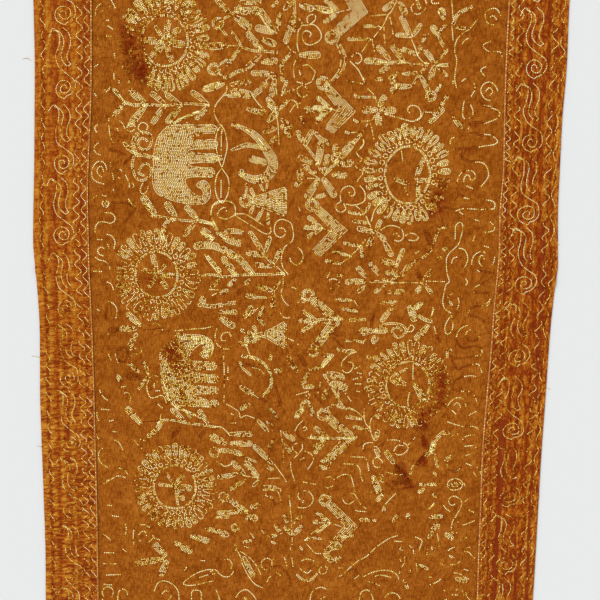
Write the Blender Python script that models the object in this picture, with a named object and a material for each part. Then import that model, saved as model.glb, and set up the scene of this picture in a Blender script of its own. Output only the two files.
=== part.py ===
"""Embroidered tablecloth: a silk centre panel with two puckered side borders, laid out face up.

Metres, +Z up. The origin is on the underside, in the middle of the cloth, on its cross fold.
+Y runs along the cloth and +Z points out of the embroidered side. The borders lap over the panel.
"""
from collections import namedtuple
from math import cos, pi

import bmesh
import bpy

# Driving sizes of the cloth
HALF_LENGTH = 0.680
SHEET = 0.0015
GAP = 0.0003
HEM_WIDTH = 0.008
HEM_EXTRA = 0.0008
HEM_SLOPE = 0.0015

# The seam: the panel's cut edge runs under the border's turned edge
LAP = 0.008
LAP_RISE_START = 0.0145
LAP_RISE_END = 0.0105
TURN_WIDTH = 0.0035
TURN_EXTRA = 0.0006

# The pressed fold across the middle, higher at the outer edges than in the panel
CROSS_FOLD_HALF_WIDTH = 0.014
CROSS_FOLD_PANEL = 0.0012
CROSS_FOLD_EDGE = 0.0028
CROSS_FOLD_GROWS_FROM = 0.350
CROSS_FOLD_GROWS_TO = 0.425

# Where a border's folds die away towards its seam, and along a fold's two ends
FOLDS_FADE_FROM = 0.016
FOLDS_FADE_OVER = 0.008
FOLD_END_FADE = 0.050

# The outline at stations along the length, as the cloth lies
Outline = namedtuple("Outline", "y left_edge left_seam right_seam right_edge")
OUTLINE = (
    Outline(-0.680, -0.4300, -0.3360, 0.3330, 0.4310),
    Outline(-0.590, -0.4295, -0.3356, 0.3327, 0.4317),
    Outline(-0.500, -0.4280, -0.3354, 0.3305, 0.4314),
    Outline(-0.400, -0.4288, -0.3358, 0.3290, 0.4303),
    Outline(-0.300, -0.4300, -0.3368, 0.3270, 0.4295),
    Outline(-0.220, -0.4307, -0.3375, 0.3285, 0.4300),
    Outline(-0.100, -0.4286, -0.3395, 0.3323, 0.4303),
    Outline(-0.050, -0.4300, -0.3410, 0.3328, 0.4315),
    Outline(0.000, -0.4330, -0.3425, 0.3345, 0.4340),
    Outline(0.025, -0.4350, -0.3428, 0.3355, 0.4360),
    Outline(0.050, -0.4360, -0.3430, 0.3360, 0.4345),
    Outline(0.120, -0.4335, -0.3435, 0.3335, 0.4300),
    Outline(0.180, -0.4310, -0.3415, 0.3355, 0.4285),
    Outline(0.275, -0.4280, -0.3360, 0.3320, 0.4270),
    Outline(0.350, -0.4260, -0.3340, 0.3300, 0.4285),
    Outline(0.450, -0.4260, -0.3330, 0.3290, 0.4260),
    Outline(0.680, -0.4280, -0.3340, 0.3300, 0.4270),
)

# Folds along a border: inset from its outer edge at the middle of its run, the fold's height,
# its half width, the ends of its run, and how far it drifts sideways for each metre of length
Ridge = namedtuple("Ridge", "inset height half_width low high drift")
LEFT_RIDGES = (
    Ridge(0.0180, 0.0019, 0.0075, -0.680, 0.680, 0.002),
    Ridge(0.0340, 0.0015, 0.0070, -0.560, -0.020, 0.010),
    Ridge(0.0400, 0.0017, 0.0075, 0.020, 0.680, -0.008),
    Ridge(0.0520, 0.0013, 0.0065, -0.680, -0.180, -0.006),
    Ridge(0.0600, 0.0016, 0.0080, -0.120, 0.480, 0.006),
)
RIGHT_RIDGES = (
    Ridge(0.0240, 0.0024, 0.0075, -0.260, 0.300, 0.024),
    Ridge(0.0200, 0.0020, 0.0070, -0.680, -0.300, 0.004),
    Ridge(0.0260, 0.0019, 0.0070, 0.330, 0.680, 0.000),
    Ridge(0.0400, 0.0018, 0.0070, -0.680, 0.420, 0.008),
    Ridge(0.0540, 0.0017, 0.0065, -0.240, 0.680, 0.000),
    Ridge(0.0620, 0.0021, 0.0070, -0.680, -0.270, 0.003),
    Ridge(0.0705, 0.0014, 0.0065, -0.200, 0.380, -0.006),
)

# Short creases across a border: where they cross it, their height and their half width
Crease = namedtuple("Crease", "y height half_width")
LEFT_CREASES = (
    Crease(0.397, 0.0012, 0.007),
    Crease(-0.310, 0.0013, 0.007),
    Crease(-0.472, 0.0015, 0.009),
)
RIGHT_CREASES = (
    Crease(0.225, 0.0011, 0.007),
    Crease(-0.378, 0.0013, 0.007),
)

# Creases along the panel: where, their height, half width and the ends of their run
PanelCrease = namedtuple("PanelCrease", "x height half_width low high")
PANEL_CREASES = (
    PanelCrease(-0.003, 0.0010, 0.009, -0.900, 0.900),
    PanelCrease(0.262, 0.0009, 0.008, -0.430, -0.140),
)

# Grid stations. Insets are shares of a border's width, counted from its outer edge.
BORDER_WIDTH = 0.095
BORDER_INSETS = (
    0.0, 0.004, 0.008, 0.0095, 0.014, 0.0185, 0.023, 0.0275, 0.032, 0.0365, 0.041,
    0.0455, 0.050, 0.0545, 0.059, 0.0635, 0.068, 0.0725, 0.0765, 0.0805, 0.0845, 0.0915, 0.095,
)
PANEL_COLUMNS = (
    -0.300, -0.225, -0.150, -0.075, -0.022, -0.012, -0.0075, -0.003, 0.0015, 0.006, 0.016,
    0.075, 0.150, 0.225, 0.254, 0.258, 0.262, 0.266, 0.270, 0.305,
)
FOLD_ROWS = (0.004, 0.009, 0.014, 0.025, 0.050)
HEM_ROWS = (HALF_LENGTH - HEM_WIDTH - HEM_SLOPE, HALF_LENGTH - HEM_WIDTH, HALF_LENGTH)
CREASE_CLEARANCE = 0.016
BORDER_ROW_STEP = 0.040
PANEL_ROW_STEP = 0.065

# Finishes: colour, roughness, metallic
PANEL_SILK = ("panel_silk", (0.40, 0.13, 0.018), 0.55, 0.0)
BORDER_SILK = ("border_silk", (0.36, 0.12, 0.016), 0.50, 0.0)


def clear_scene():
    """Removes what a new file holds."""
    for thing in list(bpy.data.objects):
        bpy.data.objects.remove(thing, do_unlink=True)


def ramp(value, start, end):
    """Rises smoothly from 0 at start to 1 at end."""
    share = min(max((value - start) / (end - start), 0.0), 1.0)
    return share * share * (3.0 - 2.0 * share)


def bump(distance, half_width):
    """A soft hump, 1 at its middle and 0 from its half width on."""
    if abs(distance) >= half_width:
        return 0.0
    return cos(0.5 * pi * distance / half_width) ** 2


def outline_x(column, y):
    """Where an edge or seam lies at y, on a smooth curve through the outline's stations."""
    last = len(OUTLINE) - 1
    low = max(i for i in range(last) if OUTLINE[i].y <= y or i == 0)
    near, far = OUTLINE[low], OUTLINE[low + 1]
    before, after = OUTLINE[max(low - 1, 0)], OUTLINE[min(low + 2, last)]
    step = far.y - near.y
    at = [getattr(row, column) for row in (before, near, far, after)]
    slope_near = (at[2] - at[0]) / (far.y - before.y) * step
    slope_far = (at[3] - at[1]) / (after.y - near.y) * step
    t = (y - near.y) / step
    return (
        at[1] * (2 * t**3 - 3 * t**2 + 1)
        + slope_near * (t**3 - 2 * t**2 + t)
        + at[2] * (3 * t**2 - 2 * t**3)
        + slope_far * (t**3 - t**2)
    )


def cross_fold(x, y):
    """Height of the pressed fold across the middle."""
    grow = ramp(abs(x), CROSS_FOLD_GROWS_FROM, CROSS_FOLD_GROWS_TO)
    height = CROSS_FOLD_PANEL + (CROSS_FOLD_EDGE - CROSS_FOLD_PANEL) * grow
    return height * bump(y, CROSS_FOLD_HALF_WIDTH)


def run_share(y, low, high):
    """1 along a fold's run, fading to 0 towards its ends."""
    return ramp(y, low - FOLD_END_FADE, low) * (1.0 - ramp(y, high, high + FOLD_END_FADE))


def hem_thickness(distance):
    """What a hem adds to the sheet at a distance from its edge."""
    return HEM_EXTRA * (1.0 - ramp(distance, HEM_WIDTH, HEM_WIDTH + HEM_SLOPE))


def panel_thickness(y):
    """The panel's thickness, with its end hems."""
    return SHEET + hem_thickness(HALF_LENGTH - abs(y))


def border_folds(inset, y, ridges, creases):
    """How high a border's own folds lift it off the surface."""
    lift = 0.0
    for ridge in ridges:
        middle = 0.5 * (ridge.low + ridge.high)
        line = ridge.inset + ridge.drift * (y - middle)
        lift += ridge.height * bump(inset - line, ridge.half_width) * run_share(y, ridge.low, ridge.high)
    for crease in creases:
        lift = max(lift, crease.height * bump(y - crease.y, crease.half_width))
    fade_end = BORDER_WIDTH - FOLDS_FADE_FROM
    return lift * (1.0 - ramp(inset, fade_end - FOLDS_FADE_OVER, fade_end))


def panel_folds(x, y):
    """How high the panel's lengthwise creases lift it."""
    return sum(
        crease.height * bump(x - crease.x, crease.half_width) * run_share(y, crease.low, crease.high)
        for crease in PANEL_CREASES
    )


def row_stations(step, creases=()):
    """Stations along the length: even steps, with closer ones at the fold, creases and hems."""
    first, last = FOLD_ROWS[-1], HEM_ROWS[0]
    count = round((last - first) / step)
    even = [first + (last - first) * i / count for i in range(1, count)]
    spread = [side * y for y in even for side in (-1, 1)]
    spread = [y for y in spread if all(abs(y - crease.y) > CREASE_CLEARANCE for crease in creases)]
    fixed = [side * y for y in (*FOLD_ROWS, *HEM_ROWS) for side in (-1, 1)]
    shares = (-1, -0.5, 0, 0.5, 1)
    own = [crease.y + share * crease.half_width for crease in creases for share in shares]
    return sorted([0.0, *fixed, *spread, *own])


def sheet_object(name, rows, columns, top, under, finish):
    """A closed sheet: top points on a grid, the same grid on the underside, and the rim between.

    top and under each give the point for a column and a row.
    """
    bm = bmesh.new()
    layers = [
        [[bm.verts.new(place(column, y)) for column in columns] for y in rows]
        for place in (top, under)
    ]
    for layer in layers:
        for j in range(len(rows) - 1):
            for i in range(len(columns) - 1):
                bm.faces.new((layer[j][i], layer[j][i + 1], layer[j + 1][i + 1], layer[j + 1][i]))
    rims = [edge for edge in bm.edges if edge.is_boundary]
    bmesh.ops.bridge_loops(bm, edges=rims)
    bmesh.ops.triangulate(bm, faces=bm.faces[:])
    bmesh.ops.recalc_face_normals(bm, faces=bm.faces[:])
    mesh = bpy.data.meshes.new(name)
    bm.to_mesh(mesh)
    bm.free()
    mesh.shade_smooth()
    mesh.set_sharp_from_angle(angle=pi / 4)
    mesh.materials.append(silk(*finish))
    cloth = bpy.data.objects.new(name, mesh)
    bpy.context.scene.collection.objects.link(cloth)
    return cloth


def silk(name, colour, roughness, metallic):
    """A plain silk finish."""
    material = bpy.data.materials.new(name)
    material.use_nodes = True
    shader = material.node_tree.nodes["Principled BSDF"]
    shader.inputs["Base Color"].default_value = (*colour, 1.0)
    shader.inputs["Roughness"].default_value = roughness
    shader.inputs["Metallic"].default_value = metallic
    return material


def make_border(name, edge, seam, ridges, creases):
    """One side border, from its rolled outer hem to the turned edge that lies on the panel."""

    def place(inset, y, thickness):
        outer, inner = outline_x(edge, y), outline_x(seam, y)
        x = outer + (inner - outer) * inset / BORDER_WIDTH
        from_seam = BORDER_WIDTH - inset
        lap = 1.0 - ramp(from_seam, LAP_RISE_END, LAP_RISE_START)
        lift = border_folds(inset, y, ridges, creases) + cross_fold(x, y)
        return x, y, lift + lap * (panel_thickness(y) + GAP) + thickness

    def top(inset, y):
        hem = max(hem_thickness(inset), hem_thickness(HALF_LENGTH - abs(y)))
        turn = TURN_EXTRA * (1.0 - ramp(BORDER_WIDTH - inset, TURN_WIDTH, TURN_WIDTH + LAP / 2))
        return place(inset, y, SHEET + hem + turn)

    def under(inset, y):
        return place(inset, y, 0.0)

    rows = row_stations(BORDER_ROW_STEP, creases)
    return sheet_object(name, rows, BORDER_INSETS, top, under, BORDER_SILK)


def make_panel():
    """The centre panel, out to the cut edges that run under the borders."""
    columns = (None, *PANEL_COLUMNS, None)
    places = list(enumerate(columns))

    def place(column, y, thickness):
        number, x = column
        if number == 0:
            x = outline_x("left_seam", y) - LAP
        elif number == len(columns) - 1:
            x = outline_x("right_seam", y) + LAP
        return x, y, panel_folds(x, y) + cross_fold(x, y) + thickness

    def top(column, y):
        return place(column, y, panel_thickness(y))

    def under(column, y):
        return place(column, y, 0.0)

    return sheet_object("field_panel", row_stations(PANEL_ROW_STEP), places, top, under, PANEL_SILK)


def main():
    """Builds the three pieces of the cloth."""
    clear_scene()
    make_panel()
    make_border("border_left", "left_edge", "left_seam", LEFT_RIDGES, LEFT_CREASES)
    make_border("border_right", "right_edge", "right_seam", RIGHT_RIDGES, RIGHT_CREASES)


main()
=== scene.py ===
# %% [markdown]
# An embroidered silk tablecloth, laid out face up. The real one is three cut pieces of cloth and some
# hundred metres of thread: a copper-orange centre panel, and a puckered border of shot silk sewn down
# each long side. A fine hook has drawn thread through the silk in chain stitch, link by link.
# This lesson builds the cloth as thin sheets and each link of chain stitch as its own small shape.
# The solids from the construction file come first, because every sheet lies exactly where they lie.

# %% Load the frame
from collections import namedtuple
from functools import cache
from math import atan2, cos, hypot, pi, radians, sin, sqrt

import bpy
import numpy as np
from mathutils import Matrix, Vector


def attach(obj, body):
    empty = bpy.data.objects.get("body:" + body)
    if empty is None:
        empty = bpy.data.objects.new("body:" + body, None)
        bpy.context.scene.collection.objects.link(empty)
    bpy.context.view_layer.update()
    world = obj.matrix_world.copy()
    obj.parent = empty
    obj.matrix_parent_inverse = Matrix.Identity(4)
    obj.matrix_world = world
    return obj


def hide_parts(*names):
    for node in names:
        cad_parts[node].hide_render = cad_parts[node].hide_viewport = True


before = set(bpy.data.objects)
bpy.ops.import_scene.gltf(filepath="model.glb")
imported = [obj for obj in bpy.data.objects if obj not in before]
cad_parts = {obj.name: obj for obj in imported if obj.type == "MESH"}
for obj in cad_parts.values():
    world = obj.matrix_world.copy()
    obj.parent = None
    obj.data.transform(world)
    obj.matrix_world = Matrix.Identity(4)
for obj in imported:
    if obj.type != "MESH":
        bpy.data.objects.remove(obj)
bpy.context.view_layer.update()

MM = 0.001

# %% [markdown]
# The sheets lie on the solids' own folds, so the sizes that shape those folds are repeated here: the
# outline at stations along the length, the ridges of each border, and the pressed folds. A smooth
# curve through a short table keeps the slightly drawn-in edges of hand-made cloth without a long list.

# %% Sizes of the cloth, as in the solids
HALF_LENGTH = 0.680
SHEET = 0.0015
GAP = 0.0003
HEM_WIDTH = 0.008
HEM_EXTRA = 0.0008
HEM_SLOPE = 0.0015
LAP = 0.008
LAP_RISE_START = 0.0145
LAP_RISE_END = 0.0105
TURN_WIDTH = 0.0035
TURN_EXTRA = 0.0006
CROSS_FOLD_HALF_WIDTH = 0.014
CROSS_FOLD_PANEL = 0.0012
CROSS_FOLD_EDGE = 0.0028
CROSS_FOLD_GROWS_FROM = 0.350
CROSS_FOLD_GROWS_TO = 0.425
FOLDS_FADE_FROM = 0.016
FOLDS_FADE_OVER = 0.008
FOLD_END_FADE = 0.050
BORDER_WIDTH = 0.095
print("length", 2 * HALF_LENGTH, "border width", BORDER_WIDTH, "sheet", SHEET)

# %% Outline and folds, as in the solids
Outline = namedtuple("Outline", "y left_edge left_seam right_seam right_edge")
OUTLINE = (
    Outline(-0.680, -0.4300, -0.3360, 0.3330, 0.4310),
    Outline(-0.590, -0.4295, -0.3356, 0.3327, 0.4317),
    Outline(-0.500, -0.4280, -0.3354, 0.3305, 0.4314),
    Outline(-0.400, -0.4288, -0.3358, 0.3290, 0.4303),
    Outline(-0.300, -0.4300, -0.3368, 0.3270, 0.4295),
    Outline(-0.220, -0.4307, -0.3375, 0.3285, 0.4300),
    Outline(-0.100, -0.4286, -0.3395, 0.3323, 0.4303),
    Outline(-0.050, -0.4300, -0.3410, 0.3328, 0.4315),
    Outline(0.000, -0.4330, -0.3425, 0.3345, 0.4340),
    Outline(0.025, -0.4350, -0.3428, 0.3355, 0.4360),
    Outline(0.050, -0.4360, -0.3430, 0.3360, 0.4345),
    Outline(0.120, -0.4335, -0.3435, 0.3335, 0.4300),
    Outline(0.180, -0.4310, -0.3415, 0.3355, 0.4285),
    Outline(0.275, -0.4280, -0.3360, 0.3320, 0.4270),
    Outline(0.350, -0.4260, -0.3340, 0.3300, 0.4285),
    Outline(0.450, -0.4260, -0.3330, 0.3290, 0.4260),
    Outline(0.680, -0.4280, -0.3340, 0.3300, 0.4270),
)
Ridge = namedtuple("Ridge", "inset height half_width low high drift")
Crease = namedtuple("Crease", "y height half_width")
PanelCrease = namedtuple("PanelCrease", "x height half_width low high")
RIDGES = {
    "left": (
        Ridge(0.0180, 0.0019, 0.0075, -0.680, 0.680, 0.002),
        Ridge(0.0340, 0.0015, 0.0070, -0.560, -0.020, 0.010),
        Ridge(0.0400, 0.0017, 0.0075, 0.020, 0.680, -0.008),
        Ridge(0.0520, 0.0013, 0.0065, -0.680, -0.180, -0.006),
        Ridge(0.0600, 0.0016, 0.0080, -0.120, 0.480, 0.006),
    ),
    "right": (
        Ridge(0.0240, 0.0024, 0.0075, -0.260, 0.300, 0.024),
        Ridge(0.0200, 0.0020, 0.0070, -0.680, -0.300, 0.004),
        Ridge(0.0260, 0.0019, 0.0070, 0.330, 0.680, 0.000),
        Ridge(0.0400, 0.0018, 0.0070, -0.680, 0.420, 0.008),
        Ridge(0.0540, 0.0017, 0.0065, -0.240, 0.680, 0.000),
        Ridge(0.0620, 0.0021, 0.0070, -0.680, -0.270, 0.003),
        Ridge(0.0705, 0.0014, 0.0065, -0.200, 0.380, -0.006),
    ),
}
CREASES = {
    "left": (Crease(0.397, 0.0012, 0.007), Crease(-0.310, 0.0013, 0.007), Crease(-0.472, 0.0015, 0.009)),
    "right": (Crease(0.225, 0.0011, 0.007), Crease(-0.378, 0.0013, 0.007)),
}
PANEL_CREASES = (
    PanelCrease(-0.003, 0.0010, 0.009, -0.900, 0.900),
    PanelCrease(0.262, 0.0009, 0.008, -0.430, -0.140),
)
print("outline places", len(OUTLINE), "panel creases", len(PANEL_CREASES))


# %% Soft steps, humps and the outline's curve
def ramp(value, start, end):
    """Rises smoothly from 0 at start to 1 at end, over whole arrays."""
    share = np.clip((value - start) / (end - start), 0.0, 1.0)
    return share * share * (3.0 - 2.0 * share)


def hump(distance, half_width):
    """A soft hump, 1 at its middle and 0 from its half width on."""
    reach = np.clip(np.abs(distance) / half_width, 0.0, 1.0)
    return np.cos(0.5 * pi * reach) ** 2


def outline_x(column, y):
    """Where an edge or seam lies at each y, on a smooth curve through the outline's stations."""
    stations = np.array([row.y for row in OUTLINE])
    values = np.array([getattr(row, column) for row in OUTLINE])
    low = np.clip(np.searchsorted(stations, y, side="right") - 1, 0, len(stations) - 2)
    before, after = np.maximum(low - 1, 0), np.minimum(low + 2, len(stations) - 1)
    step = stations[low + 1] - stations[low]
    slope_low = (values[low + 1] - values[before]) / (stations[low + 1] - stations[before]) * step
    slope_high = (values[after] - values[low]) / (stations[after] - stations[low]) * step
    t = (y - stations[low]) / step
    return (
        values[low] * (2 * t**3 - 3 * t**2 + 1)
        + slope_low * (t**3 - 2 * t**2 + t)
        + values[low + 1] * (3 * t**2 - 2 * t**3)
        + slope_high * (t**3 - t**2)
    )


# %% Heights of the folds
def run_share(y, low, high):
    """1 along a fold's run, fading to 0 past its ends."""
    return ramp(y, low - FOLD_END_FADE, low) * (1.0 - ramp(y, high, high + FOLD_END_FADE))


def cross_fold(x, y):
    """The pressed fold across the middle of the cloth."""
    grow = ramp(np.abs(x), CROSS_FOLD_GROWS_FROM, CROSS_FOLD_GROWS_TO)
    height = CROSS_FOLD_PANEL + (CROSS_FOLD_EDGE - CROSS_FOLD_PANEL) * grow
    return height * hump(y, CROSS_FOLD_HALF_WIDTH)


def hem(distance):
    """What a hem adds to the sheet at a distance from its edge."""
    return HEM_EXTRA * (1.0 - ramp(distance, HEM_WIDTH, HEM_WIDTH + HEM_SLOPE))


def border_folds(side, inset, y):
    """How high a border's own ridges and creases lift it."""
    lift = np.zeros(np.broadcast(inset, y).shape)
    for ridge in RIDGES[side]:
        line = ridge.inset + ridge.drift * (y - 0.5 * (ridge.low + ridge.high))
        run = run_share(y, ridge.low, ridge.high)
        lift = lift + ridge.height * hump(inset - line, ridge.half_width) * run
    for crease in CREASES[side]:
        lift = np.maximum(lift, crease.height * hump(y - crease.y, crease.half_width))
    fade_end = BORDER_WIDTH - FOLDS_FADE_FROM
    return lift * (1.0 - ramp(inset, fade_end - FOLDS_FADE_OVER, fade_end))


def panel_folds(x, y):
    """How high the panel's lengthwise creases lift it."""
    return sum(c.height * hump(x - c.x, c.half_width) * run_share(y, c.low, c.high) for c in PANEL_CREASES)


# %% [markdown]
# Silk that is drawn up by its sewing puckers. The puckers are far finer than the solids, so they are
# made here from soft noise: random heights on a grid of cells, joined smoothly. Long narrow cells give
# folds that run along the border, and short wide ones give small creases across it. A seed fixes
# each grid, so the cloth is the same each time.

# %% Soft noise on long or short cells
NOISE_CELLS = 512


@cache
def noise_heights(seed):
    """One fixed table of random heights for each seed."""
    return np.random.default_rng(seed).uniform(-1.0, 1.0, (NOISE_CELLS, NOISE_CELLS))


def soft_noise(x, y, cell_x, cell_y, seed):
    """Smooth noise from -1 to 1 whose features are about cell_x wide and cell_y long."""
    heights = noise_heights(seed)
    u, v = x / cell_x + NOISE_CELLS / 2, y / cell_y + NOISE_CELLS / 2
    i, j = np.floor(u).astype(int), np.floor(v).astype(int)
    s, t = u - i, v - j
    s, t = s * s * (3 - 2 * s), t * t * (3 - 2 * t)
    i, j = i % (NOISE_CELLS - 1), j % (NOISE_CELLS - 1)
    near = heights[i, j] * (1 - s) + heights[i + 1, j] * s
    far = heights[i, j + 1] * (1 - s) + heights[i + 1, j + 1] * s
    return near * (1 - t) + far * t


print("noise cells", noise_heights(1).shape)

# %% Puckers of the borders
Pucker = namedtuple("Pucker", "side cell_x cell_y height low high slant seed")
PUCKERS = (
    Pucker("left", 0.0042, 0.0130, 0.00046, -0.70, 0.70, 0.00, 11),
    Pucker("left", 0.0028, 0.0060, 0.00026, -0.70, 0.70, 0.20, 12),
    Pucker("left", 0.0056, 0.0420, 0.00030, -0.70, 0.70, -0.06, 15),
    Pucker("left", 0.0150, 0.0040, 0.00034, -0.70, -0.22, 0.00, 13),
    Pucker("left", 0.0130, 0.0038, 0.00024, -0.20, 0.70, -0.35, 14),
    Pucker("right", 0.0044, 0.0340, 0.00060, -0.70, 0.70, 0.00, 21),
    Pucker("right", 0.0028, 0.0090, 0.00034, -0.70, 0.70, 0.08, 22),
    Pucker("right", 0.0140, 0.0045, 0.00024, -0.70, 0.70, 0.00, 23),
)
PUCKER_TOP = 0.0007
PUCKER_FLOOR = -0.0006


def puckers(side, inset, y):
    """Fine folds of a border, a little sharper at their crests than in their troughs."""
    total = np.zeros(np.broadcast(inset, y).shape)
    for row in PUCKERS:
        if row.side == side:
            noise = soft_noise(inset + row.slant * y, y, row.cell_x, row.cell_y, row.seed)
            total = total + row.height * noise * run_share(y, row.low, row.high)
    at_seam = ramp(inset, BORDER_WIDTH - 0.006, BORDER_WIDTH - 0.003)
    calm = ramp(inset, 0.002, 0.010) * (1.0 - 0.75 * at_seam)
    return np.clip(total * calm, PUCKER_FLOOR, PUCKER_TOP)


print("layers of puckers", len(PUCKERS))

# %% Top of the cloth at any place
def border_inset(side, x, y):
    """How far in from the border's outer edge a place lies, on the scale of a border 95 mm wide."""
    outer, inner = outline_x(f"{side}_edge", y), outline_x(f"{side}_seam", y)
    return np.clip((x - outer) / (inner - outer), 0.0, 1.0) * BORDER_WIDTH


def border_under(side, inset, x, y):
    """Underside of a border: its folds, its rise over the panel's cut edge, and the cross fold."""
    lap = 1.0 - ramp(BORDER_WIDTH - inset, LAP_RISE_END, LAP_RISE_START)
    below = SHEET + hem(HALF_LENGTH - np.abs(y)) + GAP
    return border_folds(side, inset, y) + cross_fold(x, y) + lap * below


def border_top(side, inset, x, y):
    """Upper face of a border, with its hems, its turned edge and its puckers."""
    hems = np.maximum(hem(inset), hem(HALF_LENGTH - np.abs(y)))
    turn = TURN_EXTRA * (1.0 - ramp(BORDER_WIDTH - inset, TURN_WIDTH, TURN_WIDTH + LAP / 2))
    return border_under(side, inset, x, y) + SHEET + hems + turn + puckers(side, inset, y)


def panel_top(x, y):
    """Upper face of the centre panel."""
    relief = 0.00018 * soft_noise(x, y, 0.012, 0.016, 31) + 0.00010 * soft_noise(x, y, 0.005, 0.030, 32)
    return panel_folds(x, y) + cross_fold(x, y) + SHEET + hem(HALF_LENGTH - np.abs(y)) + relief


def cloth_top(x, y):
    """Height of the cloth's upper face at each place, whichever piece is on top there."""
    left, right = x < outline_x("left_seam", y), x > outline_x("right_seam", y)
    top = panel_top(x, y)
    top = np.where(left, border_top("left", border_inset("left", x, y), x, y), top)
    return np.where(right, border_top("right", border_inset("right", x, y), x, y), top)


print("height on the cross fold", float(cloth_top(np.array(0.2), np.array(0.0))))

# %% [markdown]
# Each piece of cloth is one closed sheet. The upper face needs a fine grid for its puckers, and the
# underside, which lies on the table, takes a coarse one. Every fourth or sixth point of the fine grid
# is also a point of the coarse one, so that the rim between them closes with no gap.

# %% A closed sheet from two grids
def grid_faces(rows, columns, first, flip):
    """Squares of a grid of points that is numbered row by row from first."""
    j, i = np.meshgrid(np.arange(rows - 1), np.arange(columns - 1), indexing="ij")
    corner = (first + j * columns + i).ravel()
    square = np.column_stack([corner, corner + 1, corner + columns + 1, corner + columns])
    return (square[:, ::-1] if flip else square).tolist()


def rim_loop(rows, columns, first):
    """Numbers of the points round a grid's rim, in order."""
    number = first + np.arange(rows * columns).reshape(rows, columns)
    return [*number[0, :-1], *number[:-1, -1], *number[-1, :0:-1], *number[:0:-1, 0]]


def sheet_mesh(name, fine, coarse, step_y, step_x):
    """Closed sheet from a fine upper grid and a coarse lower one, each (rows, columns, 3)."""
    rows, columns = fine.shape[:2]
    low_rows, low_columns = coarse.shape[:2]
    points = np.concatenate([fine.reshape(-1, 3), coarse.reshape(-1, 3)])
    first_low = rows * columns
    faces = grid_faces(rows, columns, 0, False) + grid_faces(low_rows, low_columns, first_low, True)
    upper, lower = rim_loop(rows, columns, 0), rim_loop(low_rows, low_columns, first_low)
    spans = ([step_x] * (low_columns - 1) + [step_y] * (low_rows - 1)) * 2
    at = 0
    for k, span in enumerate(spans):
        above = [int(upper[(at + n) % len(upper)]) for n in range(span, -1, -1)]
        faces.append([int(lower[k]), int(lower[(k + 1) % len(lower)]), *above])
        at += span
    mesh = bpy.data.meshes.new(name)
    mesh.from_pydata(points.tolist(), [], faces)
    mesh.validate()
    mesh.shade_smooth()
    return mesh


def add_piece(name, mesh):
    """Links a mesh as a piece that rides on the cloth."""
    piece = bpy.data.objects.new(name, mesh)
    bpy.context.scene.collection.objects.link(piece)
    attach(piece, "root")
    return piece


def set_values(mesh, name, upper):
    """Stores a number for each point of the upper face, and 0 below; the finish reads it by its name."""
    values = np.zeros(len(mesh.vertices), dtype=np.float32)
    values[: upper.size] = upper.ravel()
    mesh.attributes.new(name, "FLOAT", "POINT").data.foreach_set("value", values)


# %% [markdown]
# The cloth is old. In places, most of all beside two medallions, it is coloured a darker red-brown, and
# some long folds of the right border are tinted maroon as painted shade in their troughs. A painted picture
# could say where, but a few ellipses and lines do it too. Each point of a sheet stores its share, and the
# finish turns that into colour.

# %% Darker red-brown places of the panel
DarkPatch = namedtuple("DarkPatch", "x y rx ry depth")
DARK_PATCHES = (
    DarkPatch(-272, 372, 13, 26, 0.85),
    DarkPatch(-256, 333, 17, 24, 0.95),
    DarkPatch(-283, 398, 9, 18, 0.70),
    DarkPatch(-240, -12, 14, 12, 0.85),
    DarkPatch(-284, 8, 12, 22, 0.60),
    DarkPatch(236, 132, 12, 40, 0.75),
    DarkPatch(222, 112, 16, 12, 0.60),
    DarkPatch(253, -186, 9, 44, 0.80),
    DarkPatch(228, -233, 16, 14, 0.75),
    DarkPatch(-206, -134, 15, 18, 0.80),
    DarkPatch(-190, -160, 16, 14, 0.40),
    DarkPatch(227, -320, 9, 11, 0.95),
    DarkPatch(195, -343, 13, 12, 0.75),
    DarkPatch(204, -364, 14, 11, 0.80),
    DarkPatch(229, -286, 9, 13, 0.85),
    DarkPatch(224, -252, 12, 13, 0.80),
    DarkPatch(-305, 108, 13, 9, 0.35),
    DarkPatch(-298, -268, 18, 14, 0.30),
    DarkPatch(-298, -387, 13, 26, 0.30),
    DarkPatch(-299, -186, 13, 12, 0.35),
    DarkPatch(294, 386, 12, 22, 0.35),
    DarkPatch(280, 257, 13, 6, 0.50),
    DarkPatch(280, 213, 14, 9, 0.40),
    DarkPatch(290, -111, 17, 16, 0.32),
    DarkPatch(286, -151, 17, 9, 0.38),
    DarkPatch(-290, 207, 12, 10, 0.35),
)


def dark_patch_places(x, y):
    """How far the cloth is coloured a darker red-brown, from 0 to 1."""
    amount = np.zeros(x.shape)
    for patch in DARK_PATCHES:
        far = np.hypot((x / MM - patch.x) / patch.rx, (y / MM - patch.y) / patch.ry)
        amount = np.maximum(amount, patch.depth * (1.0 - ramp(far, 0.2, 1.25)))
    return np.clip(amount * (1.0 + 0.7 * soft_noise(x, y, 0.006, 0.006, 61)), 0.0, 1.0)


print("worn places", len(DARK_PATCHES))

# %% Painted shade in the long folds of the right border
MaroonBand = namedtuple("MaroonBand", "half_width heights places")
MAROON_BANDS = (
    MaroonBand(3.6, (-205, -134, -82, -30, 21, 96), (414, 413, 413, 412, 412, 407)),
    MaroonBand(3.2, (-574, -461, -405, -332, -250), (363, 361, 364, 360, 359)),
    MaroonBand(1.7, (-386, -332, -259), (367, 365, 366)),
    MaroonBand(1.6, (-573, -497, -423), (400, 396, 392)),
    MaroonBand(1.8, (-573, -441, -367), (420, 417, 414)),
    MaroonBand(1.5, (-206, -101, -32), (339, 332, 330)),
    MaroonBand(1.6, (-32, 136, 266), (350, 344, 339)),
    MaroonBand(1.5, (170, 251, 362), (381, 373, 371)),
)


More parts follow.
